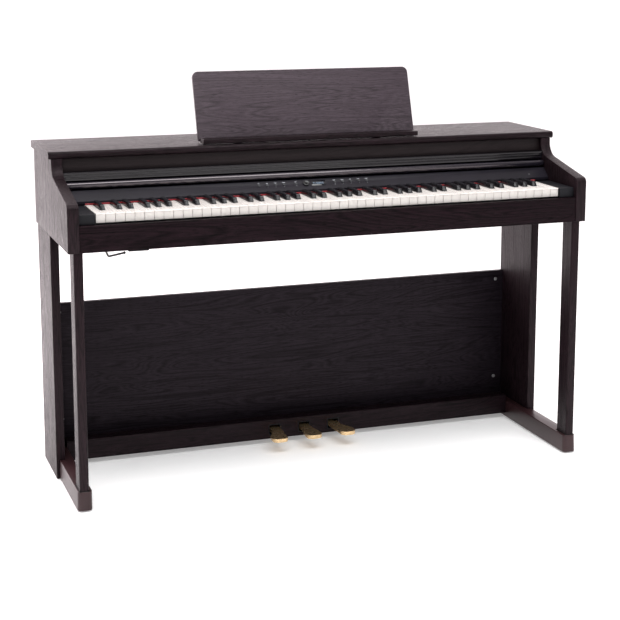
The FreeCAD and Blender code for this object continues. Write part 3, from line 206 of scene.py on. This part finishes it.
def streaked_keys(name, base, shade, roughness, specular, wear):
    """Key plastic with a faint grain that runs along each key."""
    material, nodes, links, shader = new_material(name, base, roughness, specular)
    mapping = stretched_coords(nodes, links, (700, 16, 700))
    lines = noise(nodes, links, mapping, 1.0, 4.0, 0.6, 0.2)
    patch_map = stretched_coords(nodes, links, (38, 22, 38))
    patches = noise(nodes, links, patch_map, 1.0, 3.0, 0.6)
    both = blend_colours(
        nodes, links, "MULTIPLY", 0.6, lines.outputs["Fac"], patches.outputs["Fac"])
    colour = ramp(nodes, links, both, ((0.15, shade), (0.5, base)))
    links.new(colour.outputs["Color"], shader.inputs["Base Color"])
    dullness = spread(nodes, links, both, roughness + wear, roughness - wear)
    links.new(dullness, shader.inputs["Roughness"])
    add_bump(nodes, links, shader, lines.outputs["Fac"], 0.06, 0.08 * MM)
    return material


def brushed_metal(name, base, roughness, axis=X_AXIS, metallic=1.0):
    """Metal with fine brush lines, and a tarnish that comes and goes in patches."""
    material, nodes, links, shader = new_material(name, base, roughness)
    shader.inputs["Metallic"].default_value = metallic
    mapping = stretched_coords(nodes, links, grain_scale(axis, 40, 1400))
    lines = noise(nodes, links, mapping, 1.0, 4.0, 0.6)
    patch_map = stretched_coords(nodes, links, (1, 1, 1))
    patches = noise(nodes, links, patch_map, 60, 4.0, 0.6)
    worn = tuple(channel * 0.72 for channel in base)
    colour = ramp(nodes, links, patches.outputs["Fac"], ((0.3, worn), (0.6, base)))
    links.new(colour.outputs["Color"], shader.inputs["Base Color"])
    dullness = spread(nodes, links, patches.outputs["Fac"], roughness * 1.5, roughness * 0.7)
    links.new(dullness, shader.inputs["Roughness"])
    add_bump(nodes, links, shader, lines.outputs["Fac"], 0.1, 0.05 * MM)
    return material


def felt(name, base):
    """Pressed wool, with short fibres along the strip."""
    material, nodes, links, shader = new_material(name, base, 0.95, 0.1)
    shader.inputs["Sheen Weight"].default_value = 0.4
    mapping = stretched_coords(nodes, links, (900, 1600, 1600))
    fibres = noise(nodes, links, mapping, 1.0, 6.0, 0.7, 1.2)
    dark = tuple(channel * 0.5 for channel in base)
    colour = ramp(nodes, links, fibres.outputs["Fac"], ((0.3, dark), (0.65, base)))
    links.new(colour.outputs["Color"], shader.inputs["Base Color"])
    add_bump(nodes, links, shader, fibres.outputs["Fac"], 0.6, 0.3 * MM)
    return material


SCREEN_REACH = {"X": 15 * MM, "Y": 3.6 * MM}
BAR_PITCH = 2.3 * MM
BAR_ROW = 3.6 * MM
BAR_GAP = 0.55 * MM


def lit_screen(name, centre, tilt):
    """A dark glossy window with two rows of small pale bars that glow behind it."""
    material, nodes, links, shader = new_material(name, (0.004, 0.005, 0.008), 0.08, 0.6)
    coords = nodes.new("ShaderNodeTexCoord")
    move = nodes.new("ShaderNodeMapping")
    move.vector_type = "TEXTURE"
    move.inputs["Location"].default_value = centre
    move.inputs["Rotation"].default_value = (tilt, 0, 0)
    links.new(coords.outputs["Object"], move.inputs["Vector"])
    bricks = nodes.new("ShaderNodeTexBrick")
    bricks.inputs["Scale"].default_value = 1.0
    bricks.inputs["Brick Width"].default_value = BAR_PITCH
    bricks.inputs["Row Height"].default_value = BAR_ROW
    bricks.inputs["Mortar Size"].default_value = BAR_GAP
    bricks.inputs["Mortar Smooth"].default_value = 0.1
    bricks.inputs["Color1"].default_value = (1, 1, 1, 1)
    bricks.inputs["Color2"].default_value = (0.2, 0.2, 0.2, 1)
    bricks.inputs["Mortar"].default_value = (0, 0, 0, 1)
    links.new(move.outputs["Vector"], bricks.inputs["Vector"])
    split = nodes.new("ShaderNodeSeparateXYZ")
    links.new(move.outputs["Vector"], split.inputs["Vector"])
    shown = bricks.outputs["Color"]
    for axis, reach in SCREEN_REACH.items():
        off_centre = work_out(nodes, links, "ABSOLUTE", split.outputs[axis])
        within = work_out(nodes, links, "LESS_THAN", off_centre, reach)
        shown = work_out(nodes, links, "MULTIPLY", shown, within)
    glow = ramp(nodes, links, shown, ((0.1, (0.0, 0.0, 0.0)), (0.9, (0.55, 0.75, 1.0))))
    links.new(glow.outputs["Color"], shader.inputs["Emission Color"])
    shader.inputs["Emission Strength"].default_value = 0.6
    return material


wood_across = wood_finish(
    "rosewood_across", X_AXIS, (0.0004, 0.0002, 0.0003), (0.0135, 0.0068, 0.0094),
    roughness=(0.22, 0.55), specular=0.13, relief=1.2)
wood_slip = wood_finish(
    "rosewood_key_slip", X_AXIS, (0.0002, 0.0001, 0.0002), (0.0125, 0.0060, 0.0084),
    roughness=(0.24, 0.55), specular=0.07, relief=1.4)
wood_upright = wood_finish(
    "rosewood_upright", Z_AXIS, (0.0022, 0.0012, 0.0016), (0.0170, 0.0090, 0.0118),
    roughness=(0.22, 0.58), specular=0.14, relief=1.2)
# A lighter copy of the boards' rosewood for the music rest. The extra lightness is painted light, standing in for
# the light its tilted face catches from above and behind. Its grain is the wood's own.
painted_lit_wood_rest = wood_finish(
    "rosewood_music_rest_painted_light", X_AXIS, (0.012, 0.0078, 0.0108), (0.046, 0.0330, 0.0430),
    roughness=(0.3, 0.45), specular=0.3)
wood_stand = wood_finish(
    "rosewood_stand_panel", X_AXIS, (0.0034, 0.0023, 0.0036), (0.0200, 0.0150, 0.0205),
    roughness=(0.4, 0.55))
wood_plain = wood_finish(
    "plain_dark_board", X_AXIS, (0.007, 0.0062, 0.0065), (0.019, 0.0165, 0.017),
    roughness=(0.5, 0.65), specular=0.25, relief=0.2)
name_finish = wood_finish(
    "name_panel_foil", X_AXIS, (0.0088, 0.0062, 0.0066), (0.0152, 0.0112, 0.0118),
    roughness=(0.4, 0.5), specular=0.2, relief=0.1)
cover_finish = wood_finish(
    "cover_foil", X_AXIS, (0.007, 0.0060, 0.0098), (0.012, 0.0104, 0.0162),
    roughness=(0.14, 0.2), specular=1.0, relief=0.04)
panel_plastic = moulded_plastic(
    "control_panel_plastic", (0.0112, 0.0096, 0.0142), 0.42, specular=0.2)
block_plastic = moulded_plastic("block_plastic", (0.008, 0.0082, 0.0105), 0.5, specular=0.2)
rail_plastic = moulded_plastic(
    "rail_plastic", (0.0055, 0.0045, 0.0065), 0.12, grain=1200, relief=0.03)
foot_plastic = moulded_plastic(
    "foot_plastic", (0.031, 0.0128, 0.0145), 0.34, specular=0.35, grain=1100, relief=0.2)
rubber = moulded_plastic("rubber", grey(0.012), 0.8, specular=0.2, grain=800, relief=0.3)
glossy_black = moulded_plastic(
    "glossy_black", (0.008, 0.008, 0.009), 0.12, specular=0.6, grain=2000, relief=0.02)
button_plastic = moulded_plastic(
    "button_plastic", (0.020, 0.021, 0.025), 0.45, specular=0.45, grain=2200, relief=0.1)
print_white = moulded_plastic(
    "printed_marks", (0.56, 0.57, 0.61), 0.5, specular=0.3, grain=2500, relief=0.05)
white_key_plastic = streaked_keys(
    "ivory_feel_white", (0.84, 0.805, 0.765), (0.785, 0.746, 0.708), 0.26, 0.5, wear=0.05)
black_key_plastic = streaked_keys(
    "ebony_feel_black", (0.016, 0.015, 0.018), (0.005, 0.005, 0.006), 0.2, 0.7, wear=0.06)
brass = brushed_metal("pedal_brass", (0.86, 0.62, 0.35), 0.26, Y_AXIS, metallic=0.92)
steel = brushed_metal("zinc_steel", (0.52, 0.52, 0.53), 0.4)
black_metal = brushed_metal("black_wire_finish", (0.02, 0.02, 0.022), 0.3, metallic=0.0)
red_felt = felt("red_felt", (0.32, 0.012, 0.02))

FINISH = {
    "rosewood_finish": wood_across,
    "plain_board": wood_plain,
    "black_plastic": block_plastic,
    "cover_black": cover_finish,
    "foot_plastic": foot_plastic,
    "rubber_pads": rubber,
    "red_felt": red_felt,
    "display_gloss": glossy_black,
    "control_gloss": glossy_black,
    "control_matte": button_plastic,
    "white_keys": white_key_plastic,
    "black_keys": black_key_plastic,
    "pedal_brass": brass,
    "zinc_steel": steel,
    "black_metal": black_metal,
}


# ------------------------------------------------------------ modelling helpers
def hold(piece):
    """Make one piece the only selected and active one."""
    bpy.ops.object.select_all(action="DESELECT")
    piece.select_set(True)
    bpy.context.view_layer.objects.active = piece


def edit(piece, mode="FACE"):
    """Open one piece for shaping, with its picked points or faces."""
    hold(piece)
    bpy.context.tool_settings.mesh_select_mode = (mode == "VERT", False, mode == "FACE")
    bpy.ops.object.mode_set(mode="EDIT")


def leave_edit():
    """Close the piece again."""
    bpy.ops.object.mode_set(mode="OBJECT")


def settle(piece):
    """Put a piece's place, turn and scale into its mesh."""
    hold(piece)
    bpy.ops.object.transform_apply(location=True, rotation=True, scale=True)


def pick_none(piece):
    """Leave nothing picked."""
    for parts in (piece.data.vertices, piece.data.edges, piece.data.polygons):
        for part in parts:
            part.select = False


def pick_faces(piece, wanted):
    """Pick only the faces that pass a test."""
    pick_none(piece)
    for face in piece.data.polygons:
        face.select = bool(wanted(face))


def pick_points(piece, wanted):
    """Pick only the points that pass a test."""
    pick_none(piece)
    for vertex in piece.data.vertices:
        vertex.select = bool(wanted(vertex.co))


def soften(piece, width, segments=3, angle=30):
    """Round every sharp edge a little and shade the piece smooth."""
    hold(piece)
    modifier = piece.modifiers.new("soft_edges", "BEVEL")
    modifier.width = width
    modifier.segments = segments
    modifier.limit_method = "ANGLE"
    modifier.angle_limit = math.radians(angle)
    modifier.use_clamp_overlap = True
    modifier.harden_normals = False
    bpy.ops.object.modifier_apply(modifier=modifier.name)
    bpy.ops.object.shade_smooth_by_angle(angle=math.radians(40))


def paint(piece, material):
    """Give a piece one material."""
    piece.data.materials.clear()
    piece.data.materials.append(material)


def stand_for(piece, node, material):
    """The piece takes a CAD node's place and body, with the material it is given."""
    paint(piece, material)
    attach(piece, BODY_OF[node])
    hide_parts(node)
    return piece


def add_on(piece, body, material):
    """An extra piece that rides on a body."""
    paint(piece, material)
    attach(piece, body)
    return piece


def copy_of(node, name):
    """A clean copy of a CAD node's mesh, with flat faces merged."""
    piece = bpy.data.objects.new(name, NODES[node].data.copy())
    bpy.context.scene.collection.objects.link(piece)
    edit(piece)
    bpy.ops.mesh.select_all(action="SELECT")
    bpy.ops.mesh.remove_doubles(threshold=0.005 * MM)
    bpy.ops.mesh.dissolve_limited(angle_limit=math.radians(0.6))
    leave_edit()
    return piece


def refine(node, material, width=0.8 * MM, segments=3):
    """A node's copy with softened edges and its own finish."""
    piece = copy_of(node, node + "_finished")
    soften(piece, width, segments)
    return stand_for(piece, node, material)


def block(name, low, high, turn=(0, 0, 0)):
    """A box between two corners, ready to be shaped."""
    low, high = Vector(low), Vector(high)
    bpy.ops.mesh.primitive_cube_add(
        size=1, location=(low + high) / 2, rotation=turn, scale=high - low)
    piece = bpy.context.object
    piece.name = name
    settle(piece)
    return piece


def disc(name, radius, depth, centre, turn=(0, 0, 0), vertices=40):
    """A short cylinder, ready to be shaped."""
    bpy.ops.mesh.primitive_cylinder_add(
        vertices=vertices, radius=radius, depth=depth, location=centre, rotation=turn)
    piece = bpy.context.object
    piece.name = name
    settle(piece)
    return piece


def join(pieces, name):
    """Make several meshes one piece."""
    bpy.ops.object.select_all(action="DESELECT")
    for piece in pieces:
        piece.select_set(True)
    bpy.context.view_layer.objects.active = pieces[0]
    bpy.ops.object.join()
    pieces[0].name = name
    return pieces[0]


def middle(node):
    """The middle of a node's box."""
    low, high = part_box(node)
    return (low + high) / 2


# ------------------------------------------------------------ cabinet
def dress_cabinet():
    """Boards, blocks, rail, panels and key cover, with softened edges."""
    refine("top_board", wood_across, 0.8 * MM)
    for side in ("left", "right"):
        refine(side + "_side_board", wood_upright, 1.6 * MM, 4)
        refine(side + "_key_block", block_plastic)
    refine("key_slip", wood_slip)
    refine("name_panel", name_finish)
    refine("fascia_rail", rail_plastic, 1.7 * MM, 5)
    refine("bottom_board", wood_plain)
    refine("cabinet_back_panel", wood_plain)
    refine("control_panel", panel_plastic, 0.5 * MM)
    refine("key_cover_bar", cover_finish, 0.6 * MM)
    refine("key_cover_panel", cover_finish, 1.0 * MM)
    refine("cover_guides", block_plastic)
    refine("key_felt_strip", red_felt, 0.8 * MM)


LIP_THICKNESS = 2.1 * MM
LIP_SLOPE = 0.4 * MM
LIP_OVERHANG = 2.2 * MM


def cut_lip(keys):
    """Set the front of each white key back under its top."""
    low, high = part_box("white_keys_bass")
    under_lip = high.z - LIP_THICKNESS - LIP_SLOPE / 2
    for drop in (LIP_THICKNESS, LIP_THICKNESS + LIP_SLOPE):
        edit(keys)
        bpy.ops.mesh.select_all(action="SELECT")
        bpy.ops.mesh.bisect(plane_co=(0, 0, high.z - drop), plane_no=(0, 0, 1))
        leave_edit()
    pick_points(keys, lambda point: point.y < low.y + 0.2 * MM and point.z < under_lip)
    edit(keys, "VERT")
    bpy.ops.transform.translate(value=(0, LIP_OVERHANG, 0))
    leave_edit()


def dress_keys():
    """White keys with a lip, and black keys with softened edges."""
    for node in sorted(NODES):
        if node.startswith("white_key"):
            key = copy_of(node, node + "_lipped")
            cut_lip(key)
            soften(key, 0.3 * MM, 2)
            stand_for(key, node, white_key_plastic)
        if node.startswith("black_key"):
            refine(node, black_key_plastic, 0.5 * MM, 2)


# ------------------------------------------------------------ controls
DIAL = JOINTS["selector_dial_turn"]
OUT = Vector(DIAL["axis"]).normalized()
UP_SLOPE = Vector((0, OUT.z, -OUT.y))
TILT = math.atan2(UP_SLOPE.z, UP_SLOPE.y)
PANEL_POINT = Vector(DIAL["pos_m"])


def on_panel(across, up, out=0.0):
    """A point on the sloped panel, from its row of controls."""
    return Vector((across, PANEL_POINT.y, PANEL_POINT.z)) + UP_SLOPE * up + OUT * out


def mark(name, across, up, width, height):
    """A small printed mark on the sloped panel."""
    bpy.ops.mesh.primitive_cube_add(
        size=1, location=on_panel(across, up, 0.05 * MM), rotation=(TILT, 0, 0),
        scale=(width, height, 0.16 * MM))
    piece = bpy.context.object
    piece.name = name
    settle(piece)
    soften(piece, 0.05 * MM, 1)
    return piece


CAP_SPACE = 10 * MM


def button_centres(node):
    """Middle x of each cap in a node of buttons, which stand more than a cap apart."""
    seen = []
    for vertex in NODES[node].data.vertices:
        for group in seen:
            if abs(group[0] - vertex.co.x) < CAP_SPACE:
                group.append(vertex.co.x)
                break
        else:
            seen.append([vertex.co.x])
    return sorted((min(group) + max(group)) / 2 for group in seen)


def make_dial():
    """A low knob with a ribbed skirt and a dished face."""
    low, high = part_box("dial_knob")
    radius = (high.x - low.x) / 2
    top = 4.4 * MM
    rib = 0.2 * MM
    centre = on_panel(DIAL["pos_m"][0], 0, top / 2)
    knob = disc("dial_knob_ribbed", radius * 0.97, top - 0.7 * MM, centre, (TILT, 0, 0), 72)
    pick_faces(knob, lambda face: face.index % 2 == 0 and abs(face.normal.dot(OUT)) < 0.3)
    edit(knob)
    bpy.ops.mesh.extrude_region_shrink_fatten(TRANSFORM_OT_shrink_fatten={"value": rib})
    leave_edit()
    pick_faces(knob, lambda face: face.normal.dot(OUT) > 0.9)
    edit(knob)
    for ring, lift in ((1.0, 0.3), (0.8, -0.5), (2.2, -0.3)):
        bpy.ops.mesh.inset(thickness=ring * MM)
        bpy.ops.transform.translate(value=OUT * lift * MM)
    leave_edit()
    soften(knob, 0.12 * MM, 2, 40)
    stand_for(knob, "dial_knob", glossy_black)


CAP_RADIUS = 3.35 * MM
CAP_DEPTH = 2.4 * MM


def make_buttons():
    """Low round caps with a shallow dish."""
    for node in ("power_button", "left_buttons", "right_buttons"):
        caps = []
        for across in button_centres(node):
            centre = on_panel(across, 0, -0.05 * MM)
            cap = disc("cap", CAP_RADIUS, CAP_DEPTH, centre, (TILT, 0, 0), 36)
            pick_faces(cap, lambda face: face.normal.dot(OUT) > 0.9)
            edit(cap)
            bpy.ops.mesh.inset(thickness=0.7 * MM)
            bpy.ops.mesh.inset(thickness=0.5 * MM)
            bpy.ops.transform.translate(value=-OUT * 0.25 * MM)
            leave_edit()
            soften(cap, 0.18 * MM, 2, 25)
            caps.append(cap)
        stand_for(join(caps, node + "_dished"), node, button_plastic)


def make_marks():
    """Generic printed marks: a ring and bar at the power button, small bars at the others."""
    marks = []
    power = button_centres("power_button")[0]
    bpy.ops.mesh.primitive_torus_add(
        major_radius=1.9 * MM, minor_radius=0.22 * MM, major_segments=32, minor_segments=6,
        location=on_panel(power, 7.2 * MM), rotation=(TILT, 0, 0))
    ring = bpy.context.object
    settle(ring)
    marks.append(ring)
    marks.append(mark("power_bar", power, 9.0 * MM, 0.5 * MM, 2.2 * MM))
    places = button_centres("left_buttons") + button_centres("right_buttons")
    for index, across in enumerate(places):
        wide = (5.6 + 1.5 * (index % 3)) * MM
        marks.append(mark("upper_bar", across, 7.6 * MM, wide, 0.8 * MM))
        marks.append(mark("lower_bar", across, 6.1 * MM, wide * 0.6, 0.7 * MM))
        marks.append(mark("lamp_bar", across, -6.2 * MM, 1.6 * MM, 0.7 * MM))
    add_on(join(marks, "panel_marks"), CASE, print_white)
    panel_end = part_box("right_key_block")[0].x
    lamp = mark("signal_lamp", panel_end - 12 * MM, -7 * MM, 2.4 * MM, 1.2 * MM)
    add_on(lamp, CASE, print_white)


def make_display():
    """The small window, with a lit pattern in place of words."""
    centre = middle("display_window")
    screen = copy_of("display_window", "display_screen")
    soften(screen, 0.3 * MM, 2)
    stand_for(screen, "display_window", lit_screen("display_lit", centre, TILT))


# ------------------------------------------------------------ music rest
def dress_music_rest():
    """The folding panel, its ledge and its hinges."""
    refine("music_rest_panel", painted_lit_wood_rest, 1.0 * MM, 3)
    refine("music_rest_ledge", wood_across, 1.6 * MM, 4)
    refine("music_rest_hinges", black_metal, 0.4 * MM, 2)


# ------------------------------------------------------------ stand
FOOT_DRAFT = 1.6 * MM


def make_feet():
    """Moulded feet that draw in towards the top, with a gasket round each leg."""
    for side in ("left", "right"):
        node = side + "_foot"
        low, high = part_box(node)
        foot = copy_of(node, node + "_moulded")
        outer = max(abs(low.x), abs(high.x))
        inward = -FOOT_DRAFT if low.x > 0 else FOOT_DRAFT
        rim = high.z - 1 * MM
        pick_points(foot, lambda point: point.z > rim and point.y < low.y + 16 * MM)
        edit(foot, "VERT")
        bpy.ops.transform.translate(value=(0, FOOT_DRAFT, 0))
        leave_edit()
        pick_points(foot, lambda point: point.z > rim and abs(point.x) > outer - 12 * MM)
        edit(foot, "VERT")
        bpy.ops.transform.translate(value=(inward, 0, 0))
        leave_edit()
        soften(foot, 1.3 * MM, 4)
        stand_for(foot, node, foot_plastic)
        leg_low, leg_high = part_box(side + "_front_leg")
        grow = Vector((1.2 * MM, 1.2 * MM, 0))
        under = Vector((leg_low.x, leg_low.y, leg_low.z - 0.4 * MM))
        over = Vector((leg_high.x, leg_high.y, leg_low.z + 1.2 * MM))
        gasket = block(side + "_leg_gasket", under - grow, over + grow)
        soften(gasket, 0.5 * MM, 3)
        add_on(gasket, CASE, rubber)


def dress_stand():
    """Legs, back panel, pedal box and glides."""
    for side in ("left", "right"):
        refine(side + "_rear_leg_board", wood_upright, 0.9 * MM)
        refine(side + "_front_leg", wood_upright, 0.9 * MM)
    refine("stand_back_panel", wood_stand, 0.8 * MM)
    refine("pedal_box", wood_across, 1.2 * MM, 4)
    refine("foot_glides", rubber, 0.8 * MM)


def make_screws():
    """Panhead screws with a crossed recess."""
    screws = []
    low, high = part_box("stand_screws")
    radius = 5 * MM
    recess = (4.6 * MM, 2.4 * MM, 1.0 * MM)
    for x in (low.x + radius, high.x - radius):
        for z in (low.z + radius, high.z - radius):
            centre = Vector((x, (low.y + high.y) / 2, z))
            head = disc("screw_head", radius, high.y - low.y, centre, FACING_FRONT, 32)
            soften(head, 1.4 * MM, 4)
            for turn in (0, math.pi / 2):
                bpy.ops.mesh.primitive_cube_add(
                    size=1, location=centre + Vector((0, -1.6 * MM, 0)),
                    rotation=(0, turn + math.pi / 4, 0), scale=recess)
                cutter = bpy.context.object
                hold(head)
                cut = head.modifiers.new("recess", "BOOLEAN")
                cut.operation = "DIFFERENCE"
                cut.object = cutter
                bpy.ops.object.modifier_apply(modifier=cut.name)
                bpy.data.objects.remove(cutter)
            screws.append(head)
    stand_for(join(screws, "stand_screws_crossed"), "stand_screws", steel)


SLOT_BOTTOM = 26 * MM
SLOT_TOP = 52 * MM
SLOT_SIDE = 1.6 * MM
BUSH_EDGE = 2.4 * MM


def make_pedals():
    """Brass pedals with rolled edges, and a black bush round each slot."""
    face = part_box("pedal_box")[0].y
    for node in ("soft_pedal", "sostenuto_pedal", "damper_pedal"):
        pedal = copy_of(node, node + "_polished")
        soften(pedal, 3.6 * MM, 5, 50)
        stand_for(pedal, node, brass)
        tail = [v.co.x for v in NODES[node].data.vertices if v.co.y > face]
        left, right = min(tail) - SLOT_SIDE - BUSH_EDGE, max(tail) + SLOT_SIDE + BUSH_EDGE
        plate = block(node + "_bush", (left, face - 1.2 * MM, SLOT_BOTTOM - BUSH_EDGE),
                      (right, face + 0.2 * MM, SLOT_TOP + BUSH_EDGE))
        pick_faces(plate, lambda side: abs(side.normal.y) > 0.9)
        edit(plate)
        bpy.ops.mesh.inset(thickness=2.6 * MM)
        bpy.ops.mesh.bridge_edge_loops()
        leave_edit()
        soften(plate, 0.5 * MM, 2)
        add_on(plate, CASE, block_plastic)


def make_adjuster():
    """A ribbed screw foot."""
    low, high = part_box("adjuster_foot")
    centre = (low + high) / 2
    radius = (high.x - low.x) / 2
    deep = 9 * MM
    rib = 0.45 * MM
    base_middle = (centre.x, centre.y, deep / 2)
    base = disc("adjuster_base", radius - 0.5 * MM, deep, base_middle, vertices=48)
    pick_faces(base, lambda face: abs(face.normal.z) < 0.3 and face.index % 2 == 0)
    edit(base)
    bpy.ops.mesh.extrude_region_shrink_fatten(TRANSFORM_OT_shrink_fatten={"value": rib})
    leave_edit()
    pick_faces(base, lambda face: face.normal.z > 0.9)
    edit(base)
    bpy.ops.mesh.inset(thickness=7 * MM)
    bpy.ops.transform.translate(value=(0, 0, -1.2 * MM))
    leave_edit()
    soften(base, 0.4 * MM, 2)
    stem_middle = (centre.x, centre.y, (high.z + deep) / 2 - 0.6 * MM)
    stem = disc("adjuster_stem", 4.95 * MM, high.z - deep, stem_middle)
    soften(stem, 0.4 * MM, 2)
    stand_for(join([base, stem], "adjuster_ribbed"), "adjuster_foot", block_plastic)


# ------------------------------------------------------------ small fittings
def make_sockets():
    """Metal nuts round the headphone sockets and the power inlet."""
    nuts = []
    for mount in RECORD["mounts"]:
        if mount["kind"] != "bore":
            continue
        radius = mount["dims"]["r_mm"] * MM
        out = Vector(mount["axis"])
        node = "headphone_jack_box" if "headphone" in mount["name"] else "rear_jack_box"
        low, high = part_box(node)
        mouth = Vector(mount["pos_m"])
        mouth.y = low.y if out.y < 0 else high.y
        nut = disc(mount["name"] + "_nut", radius * 1.75, 1.6 * MM, mouth + out * 0.4 * MM,
                   FACING_FRONT, 36)
        pick_faces(nut, lambda face: abs(face.normal.y) > 0.9)
        edit(nut)
        bpy.ops.mesh.inset(thickness=radius * 0.7)
        bpy.ops.mesh.bridge_edge_loops()
        leave_edit()
        soften(nut, 0.3 * MM, 2)
        nuts.append(nut)
    add_on(join(nuts, "socket_nuts"), CASE, steel)


def dress_fittings():
    """The boxes that hold the sockets, and the wire hook."""
    refine("headphone_jack_box", block_plastic, 0.8 * MM)
    refine("rear_jack_box", block_plastic, 0.4 * MM, 2)
    hook = copy_of("headphone_hook", "headphone_hook_smooth")
    hold(hook)
    bpy.ops.object.shade_smooth_by_angle(angle=math.radians(50))
    stand_for(hook, "headphone_hook", black_metal)


def paint_the_rest():
    """Finish the CAD nodes that show as they are."""
    for name, node in NODES.items():
        if node.hide_render:
            continue
        finish = FINISH[SLOT_OF[name]]
        for slot in node.material_slots:
            slot.material = finish
        if not node.material_slots:
            node.data.materials.append(finish)


# ------------------------------------------------------------ stage, lights and camera
def make_stage():
    """A pale floor that stays white under soft light."""
    bpy.ops.mesh.primitive_plane_add(size=60, location=(0, 0, -0.2 * MM))
    floor = bpy.context.object
    floor.name = "floor"
    material, nodes, links, shader = new_material("pale_floor", (0.93, 0.93, 0.93), 0.9, 0.1)
    mapping = stretched_coords(nodes, links, (1, 1, 1))
    drift = noise(nodes, links, mapping, 0.6, 2.0, 0.5)
    tone = ramp(nodes, links, drift.outputs["Fac"], ((0.3, grey(0.92)), (0.7, grey(0.94))))
    links.new(tone.outputs["Color"], shader.inputs["Base Color"])
    shader.inputs["Emission Color"].default_value = (1, 1, 1, 1)
    shader.inputs["Emission Strength"].default_value = 0.24
    paint(floor, material)


SOFTBOX_ROSE = (1.0, 0.87, 0.90)


def area_light(name, place, target, size, power, colour=(1.0, 1.0, 1.0)):
    """A softbox that points at a target."""
    data = bpy.data.lights.new(name, "AREA")
    data.shape = "RECTANGLE"
    data.size, data.size_y = size
    data.energy = power
    data.color = colour
    light = bpy.data.objects.new(name, data)
    bpy.context.scene.collection.objects.link(light)
    light.location = place
    light.rotation_euler = (Vector(target) - Vector(place)).to_track_quat("-Z", "Y").to_euler()
    return light


def make_lights():
    """A surround that is brightest behind the piano, and softboxes over, before and behind it."""
    world = bpy.data.worlds.new("studio")
    bpy.context.scene.world = world
    world.use_nodes = True
    nodes = world.node_tree.nodes
    links = world.node_tree.links
    coords = nodes.new("ShaderNodeTexCoord")
    split = nodes.new("ShaderNodeSeparateXYZ")
    links.new(coords.outputs["Generated"], split.inputs["Vector"])
    rear = spread(nodes, links, split.outputs["Y"], 0.0, 1.0, start=-1.0)
    tone = ramp(nodes, links, rear,
                ((0.0, grey(0.14)), (0.42, grey(0.26)), (0.62, (1.0, 0.91, 0.93))))
    links.new(tone.outputs["Color"], nodes["Background"].inputs["Color"])
    nodes["Background"].inputs["Strength"].default_value = 1.6
    area_light("top_softbox", (-0.2, -1.6, 3.4), (0, 0, 0.3), (3.4, 2.0), 122)
    area_light("front_softbox", (1.5, -4.0, 2.6), (0, 0, 0.8), (2.6, 1.4), 27)
    area_light("rear_left_softbox", (-2.3, 3.2, 0.55), (-0.7, 0, 0.4), (2.2, 1.9), 24, SOFTBOX_ROSE)
    floor_light = area_light(
        "rear_floor_softbox", (-1.5, 1.9, 1.5), (-1.2, 1.7, 0), (1.6, 1.6), 60, SOFTBOX_ROSE)
    floor_light.visible_camera = False


CAMERA_PLACE = (-1.2694, -3.6010, 1.3026)
CAMERA_DOWN = 0.1705
CAMERA_RIGHT = 0.3382


def make_camera():
    """A long lens from the left front, looking a little down."""
    data = bpy.data.cameras.new("camera")
    data.sensor_width = 36
    data.lens = 85.73
    data.shift_y = -0.15
    camera = bpy.data.objects.new("camera", data)
    bpy.context.scene.collection.objects.link(camera)
    camera.location = CAMERA_PLACE
    camera.rotation_euler = (math.pi / 2 - CAMERA_DOWN, 0, -CAMERA_RIGHT)
    bpy.context.scene.camera = camera


dress_cabinet()
dress_keys()
make_dial()
make_buttons()
make_marks()
make_display()
dress_music_rest()
make_feet()
dress_stand()
make_screws()
make_pedals()
make_adjuster()
make_sockets()
dress_fittings()
paint_the_rest()
make_stage()
make_lights()
make_camera()
bpy.context.scene.view_settings.view_transform = "Standard"
